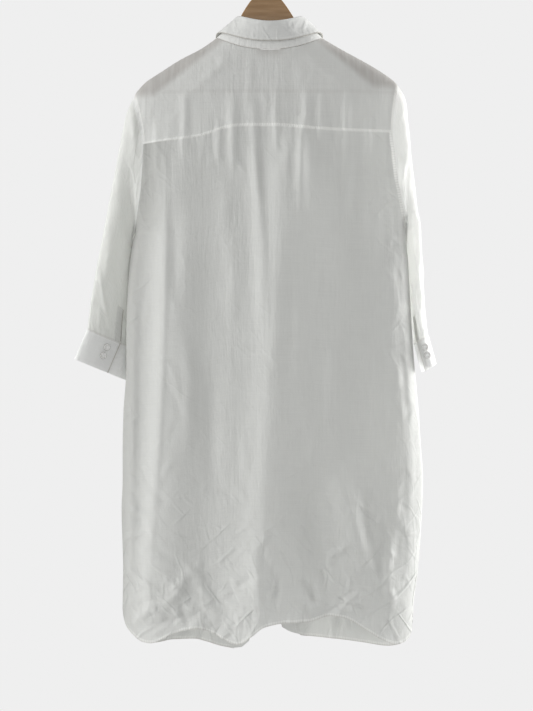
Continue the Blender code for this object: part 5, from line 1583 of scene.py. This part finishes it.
# Rows for each edge: its map, the stitch lines and the width of the folded edge in
# mm from it, how bright that fold is (partly its extra layers, partly painted highlight), and how dark the painted
# shadow line along the very edge.
SEAM_COLUMNS = ("map", "first", "second", "width", "bright", "edge")
SEAMS = {
    "yoke": (("bottom", 1.4, 3.6, 4.8, 1.0, 0.0), ("left", 1.6, 0.0, 6.0, 0.3, 0.0), ("right", 1.6, 0.0, 5.0, 0.8, 0.0)),
    "back": (("bottom", 4.4, 0.0, 4.8, 0.6, 0.25), ("top", 0.0, 0.0, 1.0, 0.5, 0.0), ("left", 0.0, 0.0, 4.0, 0.15, 0.0), ("right", 0.0, 0.0, 5.0, 0.8, 0.0)),
    "front": (("bottom", 4.4, 0.0, 4.8, 0.4, 0.3), ("top", 0.0, 0.0, 1.0, 0.3, 0.0), ("left", 0.0, 0.0, 4.0, 0.2, 0.0)),
    "placket_left": (("left", 1.8, 0.0, 3.0, 0.2, 0.0), ("right", 1.8, 0.0, 3.0, 0.2, 0.3)),
    "placket_right": (("left", 4.5, 0.0, 5.0, 0.2, 0.0), ("right", 4.5, 0.0, 5.0, 0.2, 0.3)),
    "sleeve": (("top", 6.0, 0.0, 6.5, 0.7, 0.0), ("bottom", 0.0, 0.0, 1.5, 0.1, 0.15)),
    "cuff": (("top", 1.8, 0.0, 2.6, 0.2, 0.12), ("bottom", 4.5, 0.0, 5.0, 0.15, 0.0), ("left", 4.5, 0.0, 5.0, 0.1, 0.1), ("right", 4.5, 0.0, 5.0, 0.1, 0.6)),
    "stand": (("top", 1.8, 0.0, 2.6, 0.2, 0.25), ("left", 1.8, 0.0, 3.0, 0.2, 0.0), ("right", 1.8, 0.0, 3.0, 0.2, 0.0)),
    "leaf": (("bottom", 4.5, 0.0, 5.0, 0.1, 0.6), ("left", 4.5, 0.0, 5.0, 0.1, 0.3), ("right", 4.5, 0.0, 5.0, 0.1, 0.3)),
    "sleeve_placket": (("left", 1.6, 0.0, 2.6, 0.15, 0.6), ("right", 1.6, 0.0, 2.6, 0.15, 0.0), ("top", 2.0, 7.0, 3.0, 0.2, 0.1)),
}
HEM_CRUMPLE = (("bottom", 290, 1.1), ("left", 80, 0.5), ("right", 90, 0.5))
# Painted shade down the left side, reaching 76 mm in from the left edge.
PAINTED_SHADE_LEFT = (("left", 76, 0.9),)
SLEEVE_CRUMPLE = (("bottom", 160, 0.5), ("top", 70, 0.4))

# Columns for what shows of each piece as it was cut, laid flat and all round on a tube:
# width and length in metres, the flat area where the cut isn't a rectangle, and what it rests on.
# No table in this script uses them.
FLAT_COLUMNS = ("width", "length", "area", "rests_on")


def finish_piece(obj, node, looks):
    obj.data.materials.clear()
    obj.data.materials.append(looks)
    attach(obj, "root")
    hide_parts(node)


# Share of the light that passes through one layer and through a doubled piece.
SINGLE, SLEEVE, DOUBLE = 0.46, 0.58, 0.28
LOOKS = {
    "yoke": linen("linen_yoke", SEAMS["yoke"], through=0.44, crumple=0.2, gathers=(("bottom", 75, 3.4),), painted_hanger_shade=True),
    "back": linen("linen_back", SEAMS["back"], through=SINGLE, crumple=0.2, crumpled=HEM_CRUMPLE, gathers=(("top", 110, 3.4),), painted_side_shade=PAINTED_SHADE_LEFT),
    "front_left": linen("linen_front_left", SEAMS["front"], through=SINGLE, crumpled=HEM_CRUMPLE[:2], painted_side_shade=PAINTED_SHADE_LEFT),
    "front_right": linen("linen_front_right", SEAMS["front"], through=SINGLE, crumpled=HEM_CRUMPLE[:2]),
    "placket_left": linen("linen_band_left", SEAMS["placket_left"], through=DOUBLE, crumple=0.1),
    "placket_right": linen("linen_band_right", SEAMS["placket_right"], through=DOUBLE, crumple=0.1),
    # Painted light: the sleeves get lighter copies of the linen, the right one lightest where the right light falls.
    "sleeve_left": linen("linen_sleeve_left", SEAMS["sleeve"], tint=(0.90, 0.905, 0.885), through=SLEEVE, crumpled=SLEEVE_CRUMPLE),
    "sleeve_right": linen("linen_sleeve_right", SEAMS["sleeve"], tint=(0.97, 0.975, 0.96), through=0.66, crumpled=SLEEVE_CRUMPLE),
    # Painted light: the cuffs get lighter copies of the linen, the right one lightest where the right light falls.
    "cuff_left": linen("linen_cuff_left", SEAMS["cuff"], tint=(0.91, 0.915, 0.90), through=0.36, crumple=0.9),
    "cuff_right": linen("linen_cuff_right", SEAMS["cuff"], tint=(0.99, 0.995, 0.98), through=0.50, crumple=0.7),
    "collar_stand": linen("linen_stand", SEAMS["stand"], through=DOUBLE, crumple=0.15),
    # Painted shade: the collar gets a darker copy of the linen, holding down the light that falls on it.
    "collar": linen("linen_collar", SEAMS["leaf"], tint=(0.73, 0.735, 0.715), through=DOUBLE, crumple=0.9),
    # Painted light: the sleeve plackets get a lighter copy of the linen, to match the lit sleeves.
    "sleeve_placket_left": linen("linen_sleeve_band_left", SEAMS["sleeve_placket"], tint=(0.85, 0.855, 0.835), through=0.54, crumple=0.2),
    "sleeve_placket_right": linen("linen_sleeve_band_right", SEAMS["sleeve_placket"], tint=(0.85, 0.855, 0.835), through=0.54, crumple=0.2),
}
for piece in build_dress():
    made = make_shell(piece)
    finish_piece(made, piece["name"], LOOKS[piece["name"]])

# ------------------------------------------------------------------ buttons
PEARL_LOOK, THREAD_LOOK = shell_button("pearl_shell"), thread("thread")
BUTTON = button_mesh(PEARL_LOOK, THREAD_LOOK)


def seat_on(patch, out_y):
    """Where a button lies on a 3 by 3 patch of cloth: its seat and its axis."""
    patch = np.asarray(patch, float)
    normal = np.cross(patch[1, 2] - patch[1, 0], patch[2, 1] - patch[0, 1])
    normal /= np.linalg.norm(normal)
    if normal[1] * out_y < 0:
        normal = -normal
    above = ((patch - patch[1, 1]) @ normal).max()
    return patch[1, 1] + normal * max(above, 0.0), normal


def add_button(name, seat, normal, turn):
    obj = place_button(name, BUTTON, seat, normal, turn)
    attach(obj, "root")
    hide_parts(name)


for side, name in ((-1, "left"), (1, "right")):
    table = CUFF_LEFT if side < 0 else CUFF_RIGHT
    angle = (CUFF_LAP_LEFT if side < 0 else CUFF_LAP_RIGHT)[0]
    for k, q in enumerate(CUFF_BUTTON_ROWS):
        around = np.array([[angle - 6, angle, angle + 6]] * 3)
        down = np.array([[q - 0.05] * 3, [q] * 3, [q + 0.05] * 3])
        patch = section(table, down, around, np.full((3, 3, 1), CUFF_PROUD))
        seat, normal = seat_on(patch, -1)
        add_button("cuff_button_%s_%d" % (name, k + 1), seat, normal, 0.3 + 1.1 * k + 0.7 * side)
around, up = np.meshgrid(180.0 + np.array([-7.0, 0.0, 7.0]), np.array([0.22, 0.36, 0.5]))
seat, normal = seat_on(collar_point(around, up, lap_out(around)), 1)
add_button("front_button_01", seat, normal, 0.2)
for k, z in enumerate(np.linspace(FIRST_BUTTON, LAST_BUTTON, FRONT_BUTTONS)):
    x, down = np.meshgrid(CENTRE_FRONT + np.array([-5.5, 0.0, 5.5]), z + np.array([5.5, 0.0, -5.5]))
    lap = BAND_STEP * (CENTRE_FRONT + BAND_WIDTH / 2 - x) / BAND_WIDTH
    seat, normal = seat_on(np.stack([x, front_y(x, down) + lap, down], -1), 1)
    add_button("front_button_%02d" % (k + 2), seat, normal, 0.5 + 0.9 * k)

# ------------------------------------------------------------------ hanger
WOOD_LOOK, WIRE_LOOK = wood("stained_wood"), wire("polished_wire")
for name, looks in (("hanger_body", WOOD_LOOK), ("hanger_bar", WOOD_LOOK), ("hanger_hook", WIRE_LOOK)):
    NODES[name].data.materials.clear()
    NODES[name].data.materials.append(looks)

# ------------------------------------------------------------------ floor, light and view
def disc(name, radius, z, looks):
    bm = bmesh.new()
    bmesh.ops.create_circle(bm, cap_ends=True, radius=radius, segments=96)
    mesh = bpy.data.meshes.new(name)
    bm.to_mesh(mesh)
    bm.free()
    mesh.materials.append(looks)
    obj = bpy.data.objects.new(name, mesh)
    obj.location = (0.0, 0.0, z)
    bpy.context.scene.collection.objects.link(obj)
    return obj


disc("floor", 3.2, -1.95, plain("pale_floor", (0.48, 0.48, 0.48, 1.0)))

BACKDROP = 0.863
AMBIENT = 0.58
world = bpy.data.worlds.new("studio")
bpy.context.scene.world = world
world.use_nodes = True
tree = world.node_tree
tree.nodes.clear()
seen = tree.nodes.new("ShaderNodeBackground")
seen.inputs[0].default_value = (BACKDROP, BACKDROP, BACKDROP, 1)
lighting = tree.nodes.new("ShaderNodeBackground")
lighting.inputs[0].default_value = (AMBIENT, AMBIENT, AMBIENT * 1.01, 1)
path = tree.nodes.new("ShaderNodeLightPath")
choose = tree.nodes.new("ShaderNodeMixShader")
world_out = tree.nodes.new("ShaderNodeOutputWorld")
tree.links.new(path.outputs["Is Camera Ray"], choose.inputs[0])
tree.links.new(lighting.outputs[0], choose.inputs[1])
tree.links.new(seen.outputs[0], choose.inputs[2])
tree.links.new(choose.outputs[0], world_out.inputs[0])


def area_light(name, at, towards, size, watts, colour=(1.0, 1.0, 1.0)):
    data = bpy.data.lights.new(name, "AREA")
    data.shape = "RECTANGLE"
    data.size, data.size_y = size
    data.energy = watts
    data.color = colour
    obj = bpy.data.objects.new(name, data)
    obj.location = at
    obj.rotation_euler = (Vector(towards) - Vector(at)).to_track_quat("-Z", "Y").to_euler()
    obj.visible_camera = False
    bpy.context.scene.collection.objects.link(obj)
    return obj


area_light("window_left", (-5.3, -1.1, 0.0), (0.0, 0.0, -0.70), (1.6, 2.8), 255.0)
area_light("window_right", (5.1, 1.3, -0.1), (0.0, 0.0, -0.70), (1.6, 2.8), 360.0)
area_light("side_right", (5.3, -0.1, -0.1), (0.0, 0.0, -0.70), (1.4, 2.8), 120.0)
area_light("front", (0.0, -6.0, 0.4), (0.0, 0.0, -0.70), (2.4, 2.4), 45.0)
area_light("behind", (0.3, 3.4, -0.3), (0.0, 0.0, -0.70), (2.8, 2.2), 36.0)

camera_data = bpy.data.cameras.new("camera")
camera_data.lens = 89.3
camera_data.sensor_width = 36.0
camera = bpy.data.objects.new("camera", camera_data)
camera.location = (0.002, -3.0, -0.684)
camera.rotation_euler = (math.radians(90.0), 0.0, 0.0)
bpy.context.scene.collection.objects.link(camera)
bpy.context.scene.camera = camera
scene = bpy.context.scene
scene.view_settings.view_transform = "Standard"
